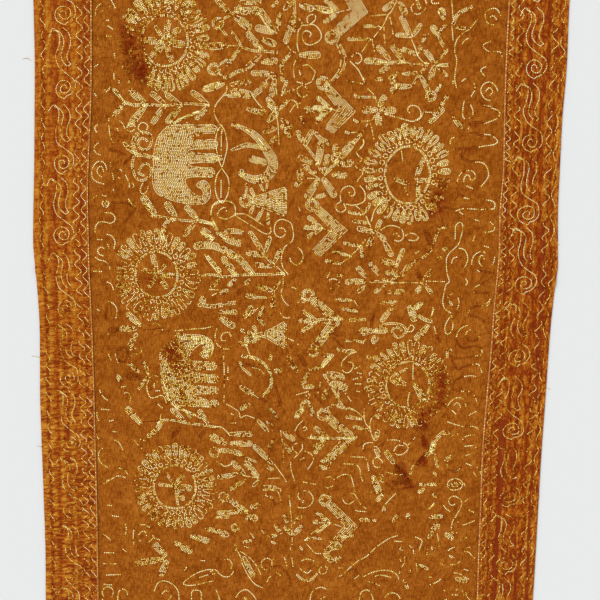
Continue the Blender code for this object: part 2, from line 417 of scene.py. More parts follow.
def maroon_bands(x, y):
    """How deep each place lies in the painted shade of a long fold's trough, from 0 to 1."""
    amount = np.zeros(x.shape)
    for row in MAROON_BANDS:
        at = np.interp(y / MM, row.heights, row.places) + 1.2 * soft_noise(x, y, 0.5, 0.02, 62)
        inside = (y / MM > row.heights[0] - 8) & (y / MM < row.heights[-1] + 8)
        far = np.abs(x / MM - at) / row.half_width
        amount = np.maximum(amount, inside * (1.0 - ramp(far, 0.6, 1.5)))
    return amount


print("dark folds", len(MAROON_BANDS))

# %% [markdown]
# The borders are two long strips of shot silk, hemmed outside and lapped over the panel. Their grid
# follows the uneven outer edge and the seam, so its columns run along the strip as the puckers do. The
# panel between them is one rectangle, and its cut edges run on under both borders.

# %% Border sheets
BORDER_COLUMNS, BORDER_ROWS = 73, 601
BORDER_STEP_X, BORDER_STEP_Y = 4, 6
RIDGE_FULL = 0.002


def border_sheet(side):
    """One side border: fine upper face on the ridges and puckers, plain underside."""
    share = np.linspace(0.0, 1.0, BORDER_COLUMNS)
    y = np.linspace(-HALF_LENGTH, HALF_LENGTH, BORDER_ROWS)[:, None] + 0.0 * share
    outer, inner = outline_x(f"{side}_edge", y), outline_x(f"{side}_seam", y)
    x = outer + (inner - outer) * share
    inset = BORDER_WIDTH * share + 0.0 * y
    fine = np.stack([x, y, border_top(side, inset, x, y)], axis=-1)
    under = np.stack([x, y, border_under(side, inset, x, y)], axis=-1)
    coarse = under[::BORDER_STEP_Y, ::BORDER_STEP_X]
    if side == "right":
        fine, coarse = fine[:, ::-1], coarse[:, ::-1]
        inset, y = inset[:, ::-1], y[:, ::-1]
    mesh = sheet_mesh(f"border_cloth_{side}", fine, coarse, BORDER_STEP_Y, BORDER_STEP_X)
    rise = fine[..., 2]
    # Painted light: the slopes that face the lamp and the crests of the puckers are stored here, and the
    # silk's colour is painted lighter on them.
    to_light = -np.gradient(rise, axis=1) / np.gradient(fine[..., 0], axis=1)
    to_light = to_light + 0.5 * np.gradient(rise, axis=0) / np.gradient(fine[..., 1], axis=0)
    folds = border_folds(side, inset, y)
    lit_crest = 0.6 * puckers(side, inset, y) / PUCKER_TOP + np.clip(to_light / 0.25, -1.5, 1.5)
    set_values(mesh, "lit_crest", lit_crest)
    # Painted light: the tops of the border's ridges are painted a little lighter in the silk's colour.
    set_values(mesh, "ridge", folds / RIDGE_FULL)
    # The right border is darker all over, and darker still in the troughs of its long folds, as painted
    # shade there.
    darkening_and_fold_shade = 0.40 + 1.7 * maroon_bands(fine[..., 0], y) if side == "right" else np.zeros(inset.shape)
    set_values(mesh, "darkening_and_fold_shade", darkening_and_fold_shade)
    set_values(mesh, "inset", inset / BORDER_WIDTH)
    piece = add_piece(f"border_cloth_{side}", mesh)
    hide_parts(f"border_{side}")
    print(piece.name, "points", len(mesh.vertices), "faces", len(mesh.polygons))
    return piece


border_cloths = {side: border_sheet(side) for side in ("left", "right")}

# %% Panel sheet
PANEL_COLUMNS, PANEL_ROWS = 133, 265
PANEL_STEP_X, PANEL_STEP_Y = 4, 4
BESIDE_LAP = 0.004


def panel_sheet():
    """The centre panel, out to the cut edges that run under the borders, where it is left plain."""
    share = np.linspace(0.0, 1.0, PANEL_COLUMNS)
    y = np.linspace(-HALF_LENGTH, HALF_LENGTH, PANEL_ROWS)[:, None] + 0.0 * share
    left, right = outline_x("left_seam", y) - LAP, outline_x("right_seam", y) + LAP
    x = left + (right - left) * share
    top = panel_top(x, y)
    lapped = (x < left + LAP + BESIDE_LAP) | (x > right - LAP - BESIDE_LAP)
    under = panel_folds(x, y) + cross_fold(x, y)
    top = np.where(lapped, under + SHEET + hem(HALF_LENGTH - np.abs(y)), top)
    fine = np.stack([x, y, top], axis=-1)
    coarse = np.stack([x, y, under], axis=-1)[::PANEL_STEP_Y, ::PANEL_STEP_X]
    mesh = sheet_mesh("panel_cloth", fine, coarse, PANEL_STEP_Y, PANEL_STEP_X)
    set_values(mesh, "darkening_and_fold_shade", dark_patch_places(x, y))
    piece = add_piece("panel_cloth", mesh)
    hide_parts("field_panel")
    print(piece.name, "points", len(mesh.vertices), "faces", len(mesh.polygons))
    return piece


panel_cloth = panel_sheet()

# %% [markdown]
# Every motif is drawn as rows of chain stitch. A row is a path over the cloth, in millimetres here,
# and each path gets one link every few millimetres. Solid shapes are rows laid side by side, from the
# outline inwards, which is how the hook works round a leaf. A slow waver is added to each path, since
# the pattern was stamped and then followed by hand.

# %% Rows of chain stitch
ROW = 2.35
LINK_HEIGHT = 0.8
LINK_SUNK = 0.25
Stitch = namedtuple("Stitch", "pitch length width")
CLOSE_STITCH = Stitch(2.9, 2.75, 2.25)
OPEN_STITCH = Stitch(2.95, 2.85, 2.75)
BORDER_STITCH = Stitch(2.6, 2.5, 2.1)

rows = {}


def waver(points):
    """Moves a path a little off its drawn line, the same way for threads that lie side by side."""
    x, y = points[:, 0], points[:, 1]
    dx = 0.9 * soft_noise(x, y, 26.0, 21.0, 41) + 0.35 * soft_noise(x, y, 7.0, 9.0, 42)
    dy = 0.9 * soft_noise(x, y, 23.0, 27.0, 43) + 0.35 * soft_noise(x, y, 8.0, 7.0, 44)
    return np.column_stack([x + dx, y + dy])


def rounded(points, steps=6):
    """A smooth curve through a few points."""
    points = np.asarray(points, dtype=float)
    if len(points) < 3:
        share = np.linspace(0.0, 1.0, steps + 1)[:, None]
        return points[0] * (1 - share) + points[-1] * share
    ends = np.vstack([2 * points[0] - points[1], points, 2 * points[-1] - points[-2]])
    t = np.linspace(0.0, 1.0, steps, endpoint=False)[:, None]
    curve = []
    for a, b, c, d in zip(ends[:-3], ends[1:-2], ends[2:-1], ends[3:]):
        square, cube = 2 * a - 5 * b + 4 * c - d, 3 * b - a - 3 * c + d
        curve.append(0.5 * (2 * b + (c - a) * t + square * t**2 + cube * t**3))
    return np.vstack([*curve, points[-1:]])


def rounded_ring(points, steps=4):
    """A smooth closed curve through a few points."""
    points = np.asarray(points, dtype=float)
    around = rounded(np.vstack([points[-2:], points, points[:2]]), steps)
    return around[2 * steps : -2 * steps]


def arc(x, y, rx, ry, first, last, count=16):
    """Points along part of an ellipse, angles in degrees from the +X side."""
    angles = np.radians(np.linspace(first, last, count))
    return np.column_stack([x + rx * np.cos(angles), y + ry * np.sin(angles)])


# %% Bands filled with rows
def unit(way):
    """The same direction with a length of 1."""
    return way / hypot(*way)


def toward(angle):
    """The unit direction at an angle from the +X side."""
    return np.array([cos(angle), sin(angle)])


def sides_of(path):
    """Unit direction to the left of a path at each of its points."""
    along = np.gradient(path, axis=0)
    along /= np.maximum(np.hypot(along[:, 0], along[:, 1]), 1e-9)[:, None]
    return np.column_stack([-along[:, 1], along[:, 0]])


def band(path, widths, row=ROW):
    """Rows that fill a band along a path: loops from its edge inwards, and a middle row if it fits."""
    path = np.asarray(path, dtype=float)
    widths = np.broadcast_to(np.asarray(widths, dtype=float), len(path))
    side = sides_of(path)
    count = max(1, round(widths.max() / row))
    step = widths.max() / count
    found = []
    for k in range(count // 2):
        half = widths / 2 - step * (k + 0.5)
        inside = np.flatnonzero(half > 0.2)
        if len(inside) < 2:
            continue
        part = slice(inside[0], inside[-1] + 1)
        keep, out, reach = path[part], side[part], np.maximum(half[part], 0.2)[:, None]
        left, right = keep + out * reach, keep - out * reach
        end = atan2(out[-1][1], out[-1][0])
        start = atan2(-out[0][1], -out[0][0])
        turn = np.linspace(0.0, -pi, 7)[1:-1]
        far = keep[-1] + reach[-1] * np.column_stack([np.cos(end + turn), np.sin(end + turn)])
        near = keep[0] + reach[0] * np.column_stack([np.cos(start + turn), np.sin(start + turn)])
        found.append(np.vstack([left, far, right[::-1], near, left[:1]]))
    if count % 2:
        wide = np.flatnonzero(widths > 0.55 * step)
        found.append(path[wide[0] : wide[-1] + 1])
    return found


# %% Leaves and closed rows
def leaf(x1, y1, x2, y2, width, narrow=0.7, hollow=False):
    """A leaf bar from its narrow foot to its round tip, with a bare slit along it if it is hollow."""
    foot, tip = np.array([x1, y1], float), np.array([x2, y2], float)
    length = max(hypot(*(tip - foot)), 0.1)
    along = (tip - foot) / length
    foot, tip, width = foot + along * width * narrow / 3, tip - along * width / 3, 1.08 * width + 0.8
    share = np.linspace(0.0, 1.0, 9)[:, None]
    widths = width * (narrow + (1.0 - narrow) * np.minimum(share[:, 0] / 0.45, 1.0))
    found = band(foot * (1 - share) + tip * share, widths)
    return found[:-1] if hollow and len(found) > 1 else found


def closed_band(x, y, rx, ry):
    """One row round an ellipse."""
    return [arc(x, y, rx, ry, 90, 450, 24)]


# %% [markdown]
# Elephants and skirts are too wide for one band. Their outlines are drawn first, then filled the way
# such figures are: one row follows the edge, and the rest run side by side across the inside.

# %% Wide shapes filled with rows
def inside_shape(outline, points):
    """True for each point that lies inside a closed outline."""
    x, y = points[:, :1], points[:, 1:]
    x1, y1 = outline[:, 0], outline[:, 1]
    x2, y2 = np.roll(x1, -1), np.roll(y1, -1)
    rise = np.where(y2 == y1, 1e-9, y2 - y1)
    crossing = ((y1 > y) != (y2 > y)) & (x < x1 + (y - y1) / rise * (x2 - x1))
    return crossing.sum(axis=1) % 2 == 1


def edge_distance(outline, points):
    """Distance of each point from a closed outline."""
    start, end = outline[None], np.roll(outline, -1, axis=0)[None]
    along = end - start
    offset = points[:, None] - start
    share = (offset * along).sum(-1) / np.maximum((along**2).sum(-1), 1e-9)
    nearest = offset - np.clip(share, 0.0, 1.0)[..., None] * along
    return np.hypot(nearest[..., 0], nearest[..., 1]).min(axis=1)


def filled(outline, lean=0.0, bow=0.0):
    """Rows that fill a closed outline: one along its edge, then bowed rows across the inside."""
    outline = np.asarray(outline, dtype=float)
    ahead = np.roll(outline, -1, axis=0)
    if np.sum(outline[:, 0] * ahead[:, 1] - ahead[:, 0] * outline[:, 1]) < 0:
        outline = outline[::-1]
    ring = np.vstack([outline[-1:], outline, outline[:1]])
    edge = outline + sides_of(ring)[1:-1] * ROW / 2
    edge = edge[(edge_distance(outline, edge) > 0.35 * ROW) & inside_shape(outline, edge)]
    found = [np.vstack([edge, edge[:1]])]
    low, high = outline.min(axis=0), outline.max(axis=0)
    middle, reach = (low + high) / 2, hypot(*(high - low)) / 2
    across, along = np.array([cos(lean), sin(lean)]), np.array([-sin(lean), cos(lean)])
    t = np.arange(-reach, reach, CLOSE_STITCH.pitch / 2)
    for s in np.arange(-reach, reach, ROW):
        line = middle + np.outer(t, along) + np.outer(s + bow * (1.0 - (t / reach) ** 2), across)
        sound = inside_shape(outline, line) & (edge_distance(outline, line) > ROW)
        starts = np.flatnonzero(np.diff(np.concatenate([[False], sound, [False]]).astype(int)))
        for a, b in zip(starts[::2], starts[1::2]):
            if b - a > 2:
                found.append(line[a:b])
    return found


# %% [markdown]
# Two small motifs come back all over the cloth: round heads worked like the spokes of a wheel, and
# tendrils that curl in on themselves. Each is one function of its place and its sizes.

# %% Small motifs
uneven = np.random.default_rng(7)


def wheel(x, y, radius):
    """A round head: one row round it, and short spokes."""
    found = [arc(x, y, radius - ROW / 2, radius - ROW / 2, 0, 360, 18)]
    if radius < 5:
        return [*found, arc(x, y, 0.9, 0.9, 0, 200, 4)]
    spokes = max(9, round(radius * 1.8))
    for k, angle in enumerate(np.arange(spokes) * 2 * pi / spokes):
        hub = (0.32 + 0.25 * (k % 2)) * radius
        found.append(np.array([x, y]) + np.outer([hub, radius - 1.2 * ROW], toward(angle)))
    return found


def curl(x, y, radius, turns, start, hand):
    """A tendril that curls in on itself."""
    share = np.linspace(0.0, 1.0, round(14 * turns) + 6)
    reach = radius * (1.0 - 0.86 * share**0.85)
    angle = np.radians(start) + hand * 2.0 * pi * turns * share
    return [np.column_stack([x + reach * np.cos(angle), y + reach * np.sin(angle)])]


# %% [markdown]
# The large motifs are a sun or flower in a wheel of petals, an elephant, and birds that are little
# more than two thick strokes with a head. All are common figures of this kind of village work. They
# are drawn here from their own few sizes.

# %% Medallion
CIRCLE_GAP = 2.0
LOOPS_OUT = 6.5
PETALS_OUT = 12.0
PETAL_SHARE = 0.66
PETAL_FOOT = 0.55
HOLLOW_PETALS = 0.30


def medallion(x, y, rx, ry, inner_x, inner_y, petals, loops, flower):
    """A flower in a double circle, a ring of small loops, and a wheel of petals."""
    middle, inner, outer = np.array([x, y]), np.array([inner_x, inner_y]), np.array([rx, ry])
    found = closed_band(x, y, *inner) + closed_band(x, y, *(inner - CIRCLE_GAP))
    for angle in np.arange(loops) * 2 * pi / loops:
        place = middle + (inner + LOOPS_OUT) * toward(angle)
        start = uneven.uniform(0, 360)
        size = uneven.uniform(3.2, 4.0)
        found.append(arc(*place, size, size, start, start + 390, 11))
    width = 2.0 * hypot(rx, ry) / 1.414 * pi / petals * PETAL_SHARE
    for angle in (np.arange(petals) + 0.5) * 2 * pi / petals:
        way = toward(angle + uneven.normal(0.0, 0.012))
        foot = middle + (inner + (PETALS_OUT + uneven.normal(0.0, 0.8))) * way
        tip = middle + outer * uneven.uniform(0.95, 1.03) * way
        hollow = uneven.uniform() < HOLLOW_PETALS
        found += leaf(*foot, *tip, width, PETAL_FOOT, hollow)
    for angle, length, width in SPOKES[flower]:
        way = toward(radians(angle))
        found += leaf(*(middle + way * 3), *(middle + way * length), width)
    return found


# %% Elephant
BACK = ((-48, -51), (-52, -39), (-52, -27), (-50, -13), (-51, -1), (-49, 15), (-46, 30), (-40, 43))
RUMP = ((-28, 55), (-7, 58), (36, 59))
LEG_ROWS = ((57, 43), (34, 18), (12, -4), (-11, -28))
LEG_GAPS = ((10, 37), (8, 15), (7, -8))
TRUNK = ((5, -30), (3, -36), (8, -46), (18, -55), (26, -59), (31, -56), (29, -49), (22, -45), (20, -40))
TRUNK_BACK = ((25, -34), (33, -32), (40, -36), (44, -45), (45, -56), (40, -67), (32, -73), (17, -74))
HEAD = ((-3, -72), (-23, -67), (-39, -60))
FEET_AT = 56.0
ANKLE_AT = 36.0
KNEE_AT = 23.0


def elephant_outline():
    """An elephant that walks to the right with its tail end up the cloth; gaps between its legs."""
    points = [*RUMP]
    for leg, (top, foot) in enumerate(LEG_ROWS):
        toe = FEET_AT - 4.0 * (leg == 3)
        points += [(toe - 6, top), (toe, (top + foot) / 2), (toe - 6, foot), (ANKLE_AT, foot)]
        if leg < 3:
            gap_x, gap_y = LEG_GAPS[leg]
            below = LEG_ROWS[leg + 1][0]
            points += [(KNEE_AT, gap_y + 2.5), (gap_x, gap_y), (KNEE_AT, gap_y - 2.5), (ANKLE_AT, below)]
        else:
            points.append((KNEE_AT - 3, foot))
    points += [*TRUNK, *TRUNK_BACK, *HEAD, *BACK]
    return np.array(points, dtype=float)


def elephant(x, y, size, flip):
    """A filled elephant, with a tail and a thin tuft behind it."""
    place, scale = np.array([x, y]), size * np.array([1.0, flip])
    found = filled(rounded_ring(elephant_outline(), 3) * scale + place, radians(90.0), 5.0)
    tuft = np.array([(-20, 60), (3, 70), (22, 79)]) * scale + place
    return found + band(rounded(tuft), np.linspace(7.0, 4.0, 13))


# %% Birds
BIRD_HEAD = 12.3
PRONGS = (142.0, 178.0, 216.0)
PRONG_LENGTH = 29.0
PRONG_WIDTH = 7.0


def bird(head, apex, tail, fork, near, far):
    """A head, two thick strokes that meet in a point, and a three-pronged wing on a short stem."""
    head, apex, tail, fork = (np.array(p, float) for p in (head, apex, tail, fork))
    found = wheel(*head, BIRD_HEAD)
    out = unit(apex - (head + tail) / 2)
    to_head = unit(head - apex)
    spread = abs(to_head[0] * out[1] - to_head[1] * out[0])
    reach = (near + far) / 4 / max(spread, 0.5)
    corner = apex - out * reach
    near_way, far_way = unit(corner - head), unit(tail - corner)
    near_side, far_side = np.array([-near_way[1], near_way[0]]), np.array([-far_way[1], far_way[0]])
    count = round((near + far) / 2 / ROW)
    for share in (np.arange(count) + 0.5) / count * 2.0 - 1.0:
        round_off = 1.0 - sqrt(1.0 - share**2)
        start = head + near_way * 11.0 + near_side * share * near / 2
        end = tail - far_way * far * 0.4 * round_off + far_side * share * far / 2
        turn = corner + out * share * reach * (1.0 if near_side @ out > 0 else -1.0)
        found.append(np.vstack([start, turn, end]))
    middle = head * 0.35 + apex * 0.65 + (tail - head) * 0.25
    found.append(np.vstack([fork, middle]))
    for angle in PRONGS:
        found += leaf(*fork, *(fork + toward(radians(angle)) * PRONG_LENGTH), PRONG_WIDTH)
    return found


# %% People
def skirted(x, y, length, width, waist, head):
    """A small person who stands across the cloth: a wide skirt, a head and two arms."""
    left, flare = x - length, x - 0.64 * length
    corners = [(x, y - width / 2), (x, y + width / 2), (flare, y + 0.6 * waist + 5.0)]
    corners += [(left, y + waist / 2), (left, y - waist / 2), (flare, y - 0.6 * waist - 5.0)]
    outline = np.vstack([rounded([corners[k], corners[(k + 1) % 6]], 6)[:-1] for k in range(6)])
    found = filled(outline) + wheel(left - head + 2.0, y, head)
    for way in (1.0, -1.0):
        found += leaf(left + 4.0, y + way * waist / 2, left - 2.0, y + way * (waist / 2 + 13.0), 6.0)
    return found


# %% [markdown]
# The whole layout is written down next, in millimetres from the middle of the cross fold. It follows
# the order of motifs on the cloth: medallions and elephants down the left, birds down the middle,
# medallions again on the right, with sprigs and tendrils wherever there is room. The tone of each row
# is how brightly its thread lies to the light, from 0 to 1.

# %% Layout of the large motifs
Medallion = namedtuple("Medallion", "x y rx ry inner_x inner_y petals loops flower tone")
MEDALLIONS = (
    Medallion(-217, 380, 71, 81, 38, 41, 34, 26, 0, 0.50),
    Medallion(-231, -2, 70, 78, 36, 40, 34, 25, 1, 0.54),
    Medallion(-201, -376, 71, 77, 38, 41, 34, 26, 2, 0.54),
    Medallion(180, 174, 71, 81, 38, 48, 32, 27, 3, 0.58),
    Medallion(195, -183, 71, 77, 38, 41, 34, 26, 4, 0.52),
)
SPOKES = (
    ((78, 32, 9), (38, 30, 10), (-12, 31, 11), (-70, 34, 9), (-128, 32, 12), (182, 32, 11), (125, 27, 6)),
    ((102, 34, 9), (50, 22, 6), (0, 30, 8), (-50, 28, 8), (-120, 24, 8), (160, 26, 6)),
    ((58, 25, 8), (-4, 29, 11), (-55, 28, 8), (172, 28, 6), (120, 30, 4), (-80, 36, 4)),
    (),
    ((160, 24, 9),),
)
Elephant = namedtuple("Elephant", "x y size flip tone")
ELEPHANTS = (Elephant(-186, 190, 1.0, 1, 0.76), Elephant(-178, -176, 0.94, -1, 0.60))
Bird = namedtuple("Bird", "head apex tail fork near far tone")
BIRDS = (
    Bird((51, 392), (108, 431), (66, 476), (61, 431), 17, 20, 0.66),
    Bird((38, 319), (94, 274), (48, 242), (52, 278), 15, 19, 0.66),
    Bird((25, 121), (87, 80), (31, 38), (42, 83), 15, 19, 0.64),
    Bird((22, -31), (83, -72), (33, -124), (38, -76), 15, 16, 0.58),
    Bird((54, -238), (114, -278), (60, -324), (62, -280), 15, 16, 0.58),
    Bird((60, -394), (120, -442), (72, -482), (70, -436), 15, 15, 0.58),
)
Skirted = namedtuple("Skirted", "x y length width waist head tone")
PEOPLE = (Skirted(-16, 125, 58, 55, 14, 12.0, 0.60), Skirted(-12, -101, 54, 54, 4, 6.5, 0.58))
CRESCENT = ((-102, 249), (-69, 232), (-47, 205), (-40, 186), (-48, 168), (-69, 160), (-90, 167))
Stroke = namedtuple("Stroke", "points widths tone")
STROKES = (
    Stroke(CRESCENT, (5, 12, 16, 17, 16, 14, 10), 0.62),
    Stroke(((-108, 208), (-84, 217), (-60, 214)), (5, 9, 8), 0.60),
    Stroke(((-74, 195), (-56, 189)), (12, 13), 0.60),
    Stroke(((-84, 152), (-84, 136)), (5, 5), 0.56),
    Stroke(((-62, 155), (-55, 143)), (5, 5), 0.56),
    Stroke(((-48, 158), (-50, 143)), (4, 4), 0.54),
)
print("medallions", len(MEDALLIONS), "birds", len(BIRDS), "elephants", len(ELEPHANTS))

# %% [markdown]
# Between the large motifs the worker filled every gap with leaves, stems and tendrils, so no two places
# are alike. They are listed by how brightly their thread lies. A leaf is its foot, its tip and its
# width. A stem is one row of stitches through a few points. A stalk is a stem that is several rows wide.
# A stem turned from the light is painted in shade, in the thread's brown and crimson tones.

# %% How brightly small motifs lie
BRIGHT = 0.62
MIDDLE = 0.50
DULL = 0.34
# Painted shade: thread that lies turned from the light takes the brown and crimson tones.
TURNED_AWAY = -0.50

# %% Layout of the leaves: bright ones
BRIGHT_LEAVES = (
    (-249, 281, -273, 301, 11), (-248, 279, -274, 245, 10), (-217, 280, -239, 298, 9),
    (-217, 278, -238, 249, 9), (-193, 280, -214, 296, 9), (-191, 279, -214, 251, 10),
    (-147, 281, -173, 300, 9), (-147, 278, -167, 258, 9), (-283, 282, -301, 300, 4),
    (-97, 443, -65, 443, 8), (-102, 429, -67, 429, 12), (-105, 419, -81, 403, 13), (-61, 369, -85, 395, 10),
    (-122, 315, -154, 304, 10), (-110, 303, -78, 296, 12), (-44, 325, -75, 296, 9), (-39, 323, -45, 296, 9),
    (-38, 330, -77, 332, 9), (-61, 350, -37, 352, 10), (-42, 399, -65, 431, 9), (-44, 396, -71, 405, 11),
    (0, 362, 32, 363, 10), (-2, 440, 18, 434, 10), (19, 438, 49, 432, 9), (-52, 293, -37, 273, 11),
    (-50, 256, -35, 271, 10), (-84, 275, -55, 269, 8), (-13, 231, -28, 249, 7), (-120, 295, -96, 295, 6),
    (151, 450, 132, 435, 8), (156, 447, 166, 430, 10), (178, 394, 160, 425, 9), (180, 396, 192, 415, 7),
    (177, 396, 153, 397, 7), (189, 368, 162, 375, 7), (218, 398, 210, 412, 10), (228, 423, 223, 439, 10),
    (145, 359, 125, 379, 9), (140, 354, 106, 355, 10), (145, 350, 129, 338, 8), (167, 356, 147, 380, 9),
    (215, 354, 200, 374, 8), (216, 350, 210, 329, 9), (195, 333, 208, 310, 8), (180, 316, 154, 317, 8),
    (157, 318, 150, 307, 10), (-123, 64, -91, 53, 11), (-136, 62, -156, 75, 11), (-69, 1, -98, 33, 11),
    (-99, 1, -121, 29, 10), (-82, -33, -65, -36, 9), (-53, 39, -77, 74, 8), (-50, 41, -43, 66, 7),
    (-53, 34, -81, 38, 9), (-37, 17, -66, 18, 8), (-56, 111, -65, 95, 6), (130, 121, 143, 133, 10),
    (124, 80, 102, 84, 9), (132, 80, 139, 98, 8), (127, 73, 119, 53, 8), (134, 77, 147, 65, 8),
    (146, 63, 160, 39, 9), (181, 14, 192, 27, 8), (118, 2, 102, 19, 9), (116, -5, 85, -7, 10),
    (139, 6, 124, 26, 9), (-127, -63, -97, -63, 8), (-125, -72, -101, -89, 11), (-86, -74, -72, -53, 8),
    (-73, -223, -88, -232, 7), (17, -191, 34, -189, 7), (28, -203, 8, -243, 9), (-38, -132, -40, -145, 5),
    (-234, 100, -253, 128, 12), (-199, 97, -215, 119, 11), (-164, 93, -183, 113, 10),
    (-169, 85, -186, 66, 9), (-258, -90, -280, -69, 10), (-266, -96, -292, -96, 10),
    (-265, -104, -278, -127, 8), (-248, -179, -262, -201, 6), (-259, -263, -283, -235, 10),
    (-185, -256, -206, -235, 9), (-144, -260, -160, -237, 8), (-217, -504, -236, -482, 11),
    (-215, -514, -225, -541, 11), (-201, -478, -173, -496, 11), (-173, -466, -141, -476, 10),
    (-113, -294, -139, -282, 12), (-108, -277, -69, -277, 9), (-106, -294, -70, -295, 10),
    (-80, -351, -101, -328, 9), (-93, -350, -126, -356, 9), (-55, -356, -80, -327, 10),
    (-74, -421, -103, -398, 10), (-75, -417, -126, -422, 7), (-53, -404, -68, -411, 9),
    (-33, -330, -65, -298, 9), (-14, -272, 4, -286, 9), (-77, -430, -58, -430, 12),
    (-147, -452, -108, -463, 10), (7, -460, 19, -443, 8), (-81, -503, -61, -540, 8), (106, -58, 81, -53, 6),
    (119, -71, 93, -72, 6), (166, -45, 146, -73, 8), (131, -90, 111, -92, 13), (133, -90, 156, -88, 10),
    (56, -167, 85, -173, 12), (65, -183, 90, -191, 14), (48, -155, 60, -137, 8), (192, -47, 203, -70, 12),
    (225, -78, 206, -102, 10), (143, -284, 147, -266, 8), (143, -295, 152, -311, 9),
    (177, -325, 162, -302, 9), (142, -348, 153, -375, 10), (89, -499, 79, -507, 9), (54, -292, 40, -308, 7),
    (284, -461, 273, -450, 10), (294, -534, 312, -539, 9), (10, 217, 22, 242, 8), (33, 187, 37, 223, 11),
    (35, 165, 16, 132, 11), (42, 166, 62, 136, 11), (62, 192, 89, 224, 12), (66, 189, 90, 191, 11),
    (57, 171, 79, 171, 11), (25, 131, 46, 138, 7), (126, 278, 104, 277, 11), (131, 278, 156, 278, 11),
    (130, 284, 139, 300, 10), (128, 273, 131, 254, 10), (102, 239, 91, 224, 6), (-148, 191, -124, 195, 8),
    (-154, -38, -154, -48, 10), (-158, 73, -139, 59, 8), (193, 167, 206, 202, 8), (196, 164, 216, 165, 8),
    (213, 260, 233, 283, 11), (169, 7, 160, -7, 7),
)

# %% Layout of the leaves: middle ones
MIDDLE_LEAVES = (
    (-282, 280, -301, 259, 7), (-131, 314, -154, 305, 8), (-113, 425, -134, 445, 9),
    (-116, 375, -146, 372, 11), (-63, 362, -85, 340, 8), (-61, 386, -40, 377, 10), (-39, 396, -33, 426, 8),
    (-46, 436, -37, 444, 6), (-27, 432, -16, 444, 9), (-9, 428, -24, 381, 9), (-28, 298, -20, 321, 5),
    (-31, 274, -19, 289, 6), (-97, 437, -103, 430, 11), (-57, 237, -37, 247, 8), (-29, 260, -11, 246, 7),
    (-46, 221, -35, 231, 7), (128, 409, 101, 410, 5), (115, 390, 76, 389, 5), (191, 370, 193, 381, 6),
    (195, 387, 199, 398, 6), (220, 397, 229, 380, 5), (248, 410, 262, 410, 5), (158, 339, 146, 328, 6),
    (122, 327, 133, 326, 6), (217, 354, 235, 375, 6), (219, 350, 237, 334, 5), (220, 351, 241, 352, 5),
    (228, 321, 221, 310, 5), (-138, 86, -164, 90, 6), (-122, 2, -137, 20, 7), (-99, -6, -110, -17, 7),
    (-126, -7, -140, -22, 7), (-112, -25, -124, -32, 8), (-36, 22, -26, 44, 7), (-47, 106, -47, 88, 5),
    (-38, -25, -65, -17, 8), (111, 106, 86, 111, 5), (114, 108, 119, 126, 5), (120, 93, 93, 96, 6),
    (170, 22, 142, 31, 10), (169, 25, 179, 51, 7), (215, -1, 226, 16, 8), (213, -8, 202, -23, 7),
    (120, -11, 105, -24, 6), (152, -9, 134, -23, 6), (171, -39, 144, -42, 6), (213, -40, 198, -51, 7),
    (108, 54, 80, 59, 5), (108, 54, 110, 36, 5), (93, 37, 62, 43, 5), (76, 23, 50, 28, 6),
    (96, -39, 67, -37, 5), (78, 3, 71, 3, 7), (-61, -72, -50, -53, 6), (-63, -70, -49, -84, 5),
    (-90, -192, -69, -205, 9), (-17, -162, -31, -165, 8), (27, -166, 15, -187, 8),
    (-38, -229, -24, -247, 5), (26, -214, 37, -237, 5), (-81, -119, -79, -104, 8),
    (-262, -171, -279, -155, 6), (-245, -176, -252, -153, 5), (-298, -177, -293, -187, 7),
    (-217, -510, -268, -519, 11), (-55, -360, -66, -371, 6), (-48, -372, -26, -374, 8),
    (-60, -251, -43, -269, 7), (-12, -291, -1, -309, 6), (21, -224, 6, -246, 8),
    (-129, -431, -107, -429, 6), (-38, -463, -24, -461, 6), (-28, -442, -15, -457, 6),
    (2, -460, -9, -445, 8), (-13, -421, -5, -436, 6), (5, -438, 19, -424, 6), (82, -126, 102, -126, 7),
    (58, -190, 53, -211, 7), (204, -52, 213, -40, 6), (205, -179, 224, -211, 10), (107, -231, 76, -223, 6),
    (119, -247, 92, -242, 6), (132, -265, 106, -260, 6), (155, -344, 159, -358, 7),
    (163, -378, 150, -393, 7), (230, -313, 246, -287, 7), (220, -361, 232, -362, 6),
    (234, -360, 251, -362, 5), (231, -369, 222, -377, 7), (150, -430, 122, -429, 6),
    (179, -433, 186, -420, 6), (163, -402, 163, -412, 6), (205, -416, 205, -425, 7),
    (242, -460, 256, -433, 8), (243, -421, 264, -418, 8), (228, -511, 244, -518, 5),
    (250, 269, 264, 252, 7), (244, 52, 251, 52, 7), (245, -305, 253, -329, 6), (274, -361, 293, -359, 7),
    (238, -307, 244, -291, 7), (41, 268, 27, 256, 9), (10, 219, -1, 241, 8), (30, 188, 2, 199, 8),
    (34, 169, 10, 185, 9), (8, 162, -2, 152, 8), (43, 172, 49, 203, 9), (58, 194, 62, 220, 10),
    (-274, 206, -268, 200, 7), (-91, 176, -91, 166, 11), (-147, 33, -126, 5, 6), (198, 161, 200, 138, 7),
    (-98, 244, -108, 250, 8),
)

# %% Layout of the leaves: dull ones
DULL_LEAVES = (
    (-112, 312, -80, 319, 9), (165, 336, 189, 338, 6), (-77, -6, -84, -16, 7), (-24, -5, -35, -24, 6),
    (-35, -27, -36, -54, 7), (217, -8, 227, -23, 7), (151, 10, 181, 10, 11), (152, -23, 182, -22, 8),
    (8, -165, -11, -139, 8), (-181, -523, -181, -532, 9), (-80, -360, -105, -379, 7),
    (-29, -283, -39, -299, 6), (-43, -253, -31, -263, 9), (73, -195, 83, -221, 9),
    (137, -375, 160, -377, 7), (201, -540, 210, -555, 5), (242, 86, 247, 94, 8), (42, 276, 10, 275, 10),
    (4, 264, 7, 254, 7), (4, 162, 4, 178, 10), (-284, 217, -274, 206, 7), (-280, 124, -267, 111, 6),
    (182, 159, 160, 167, 8), (230, 286, 239, 303, 6),
)

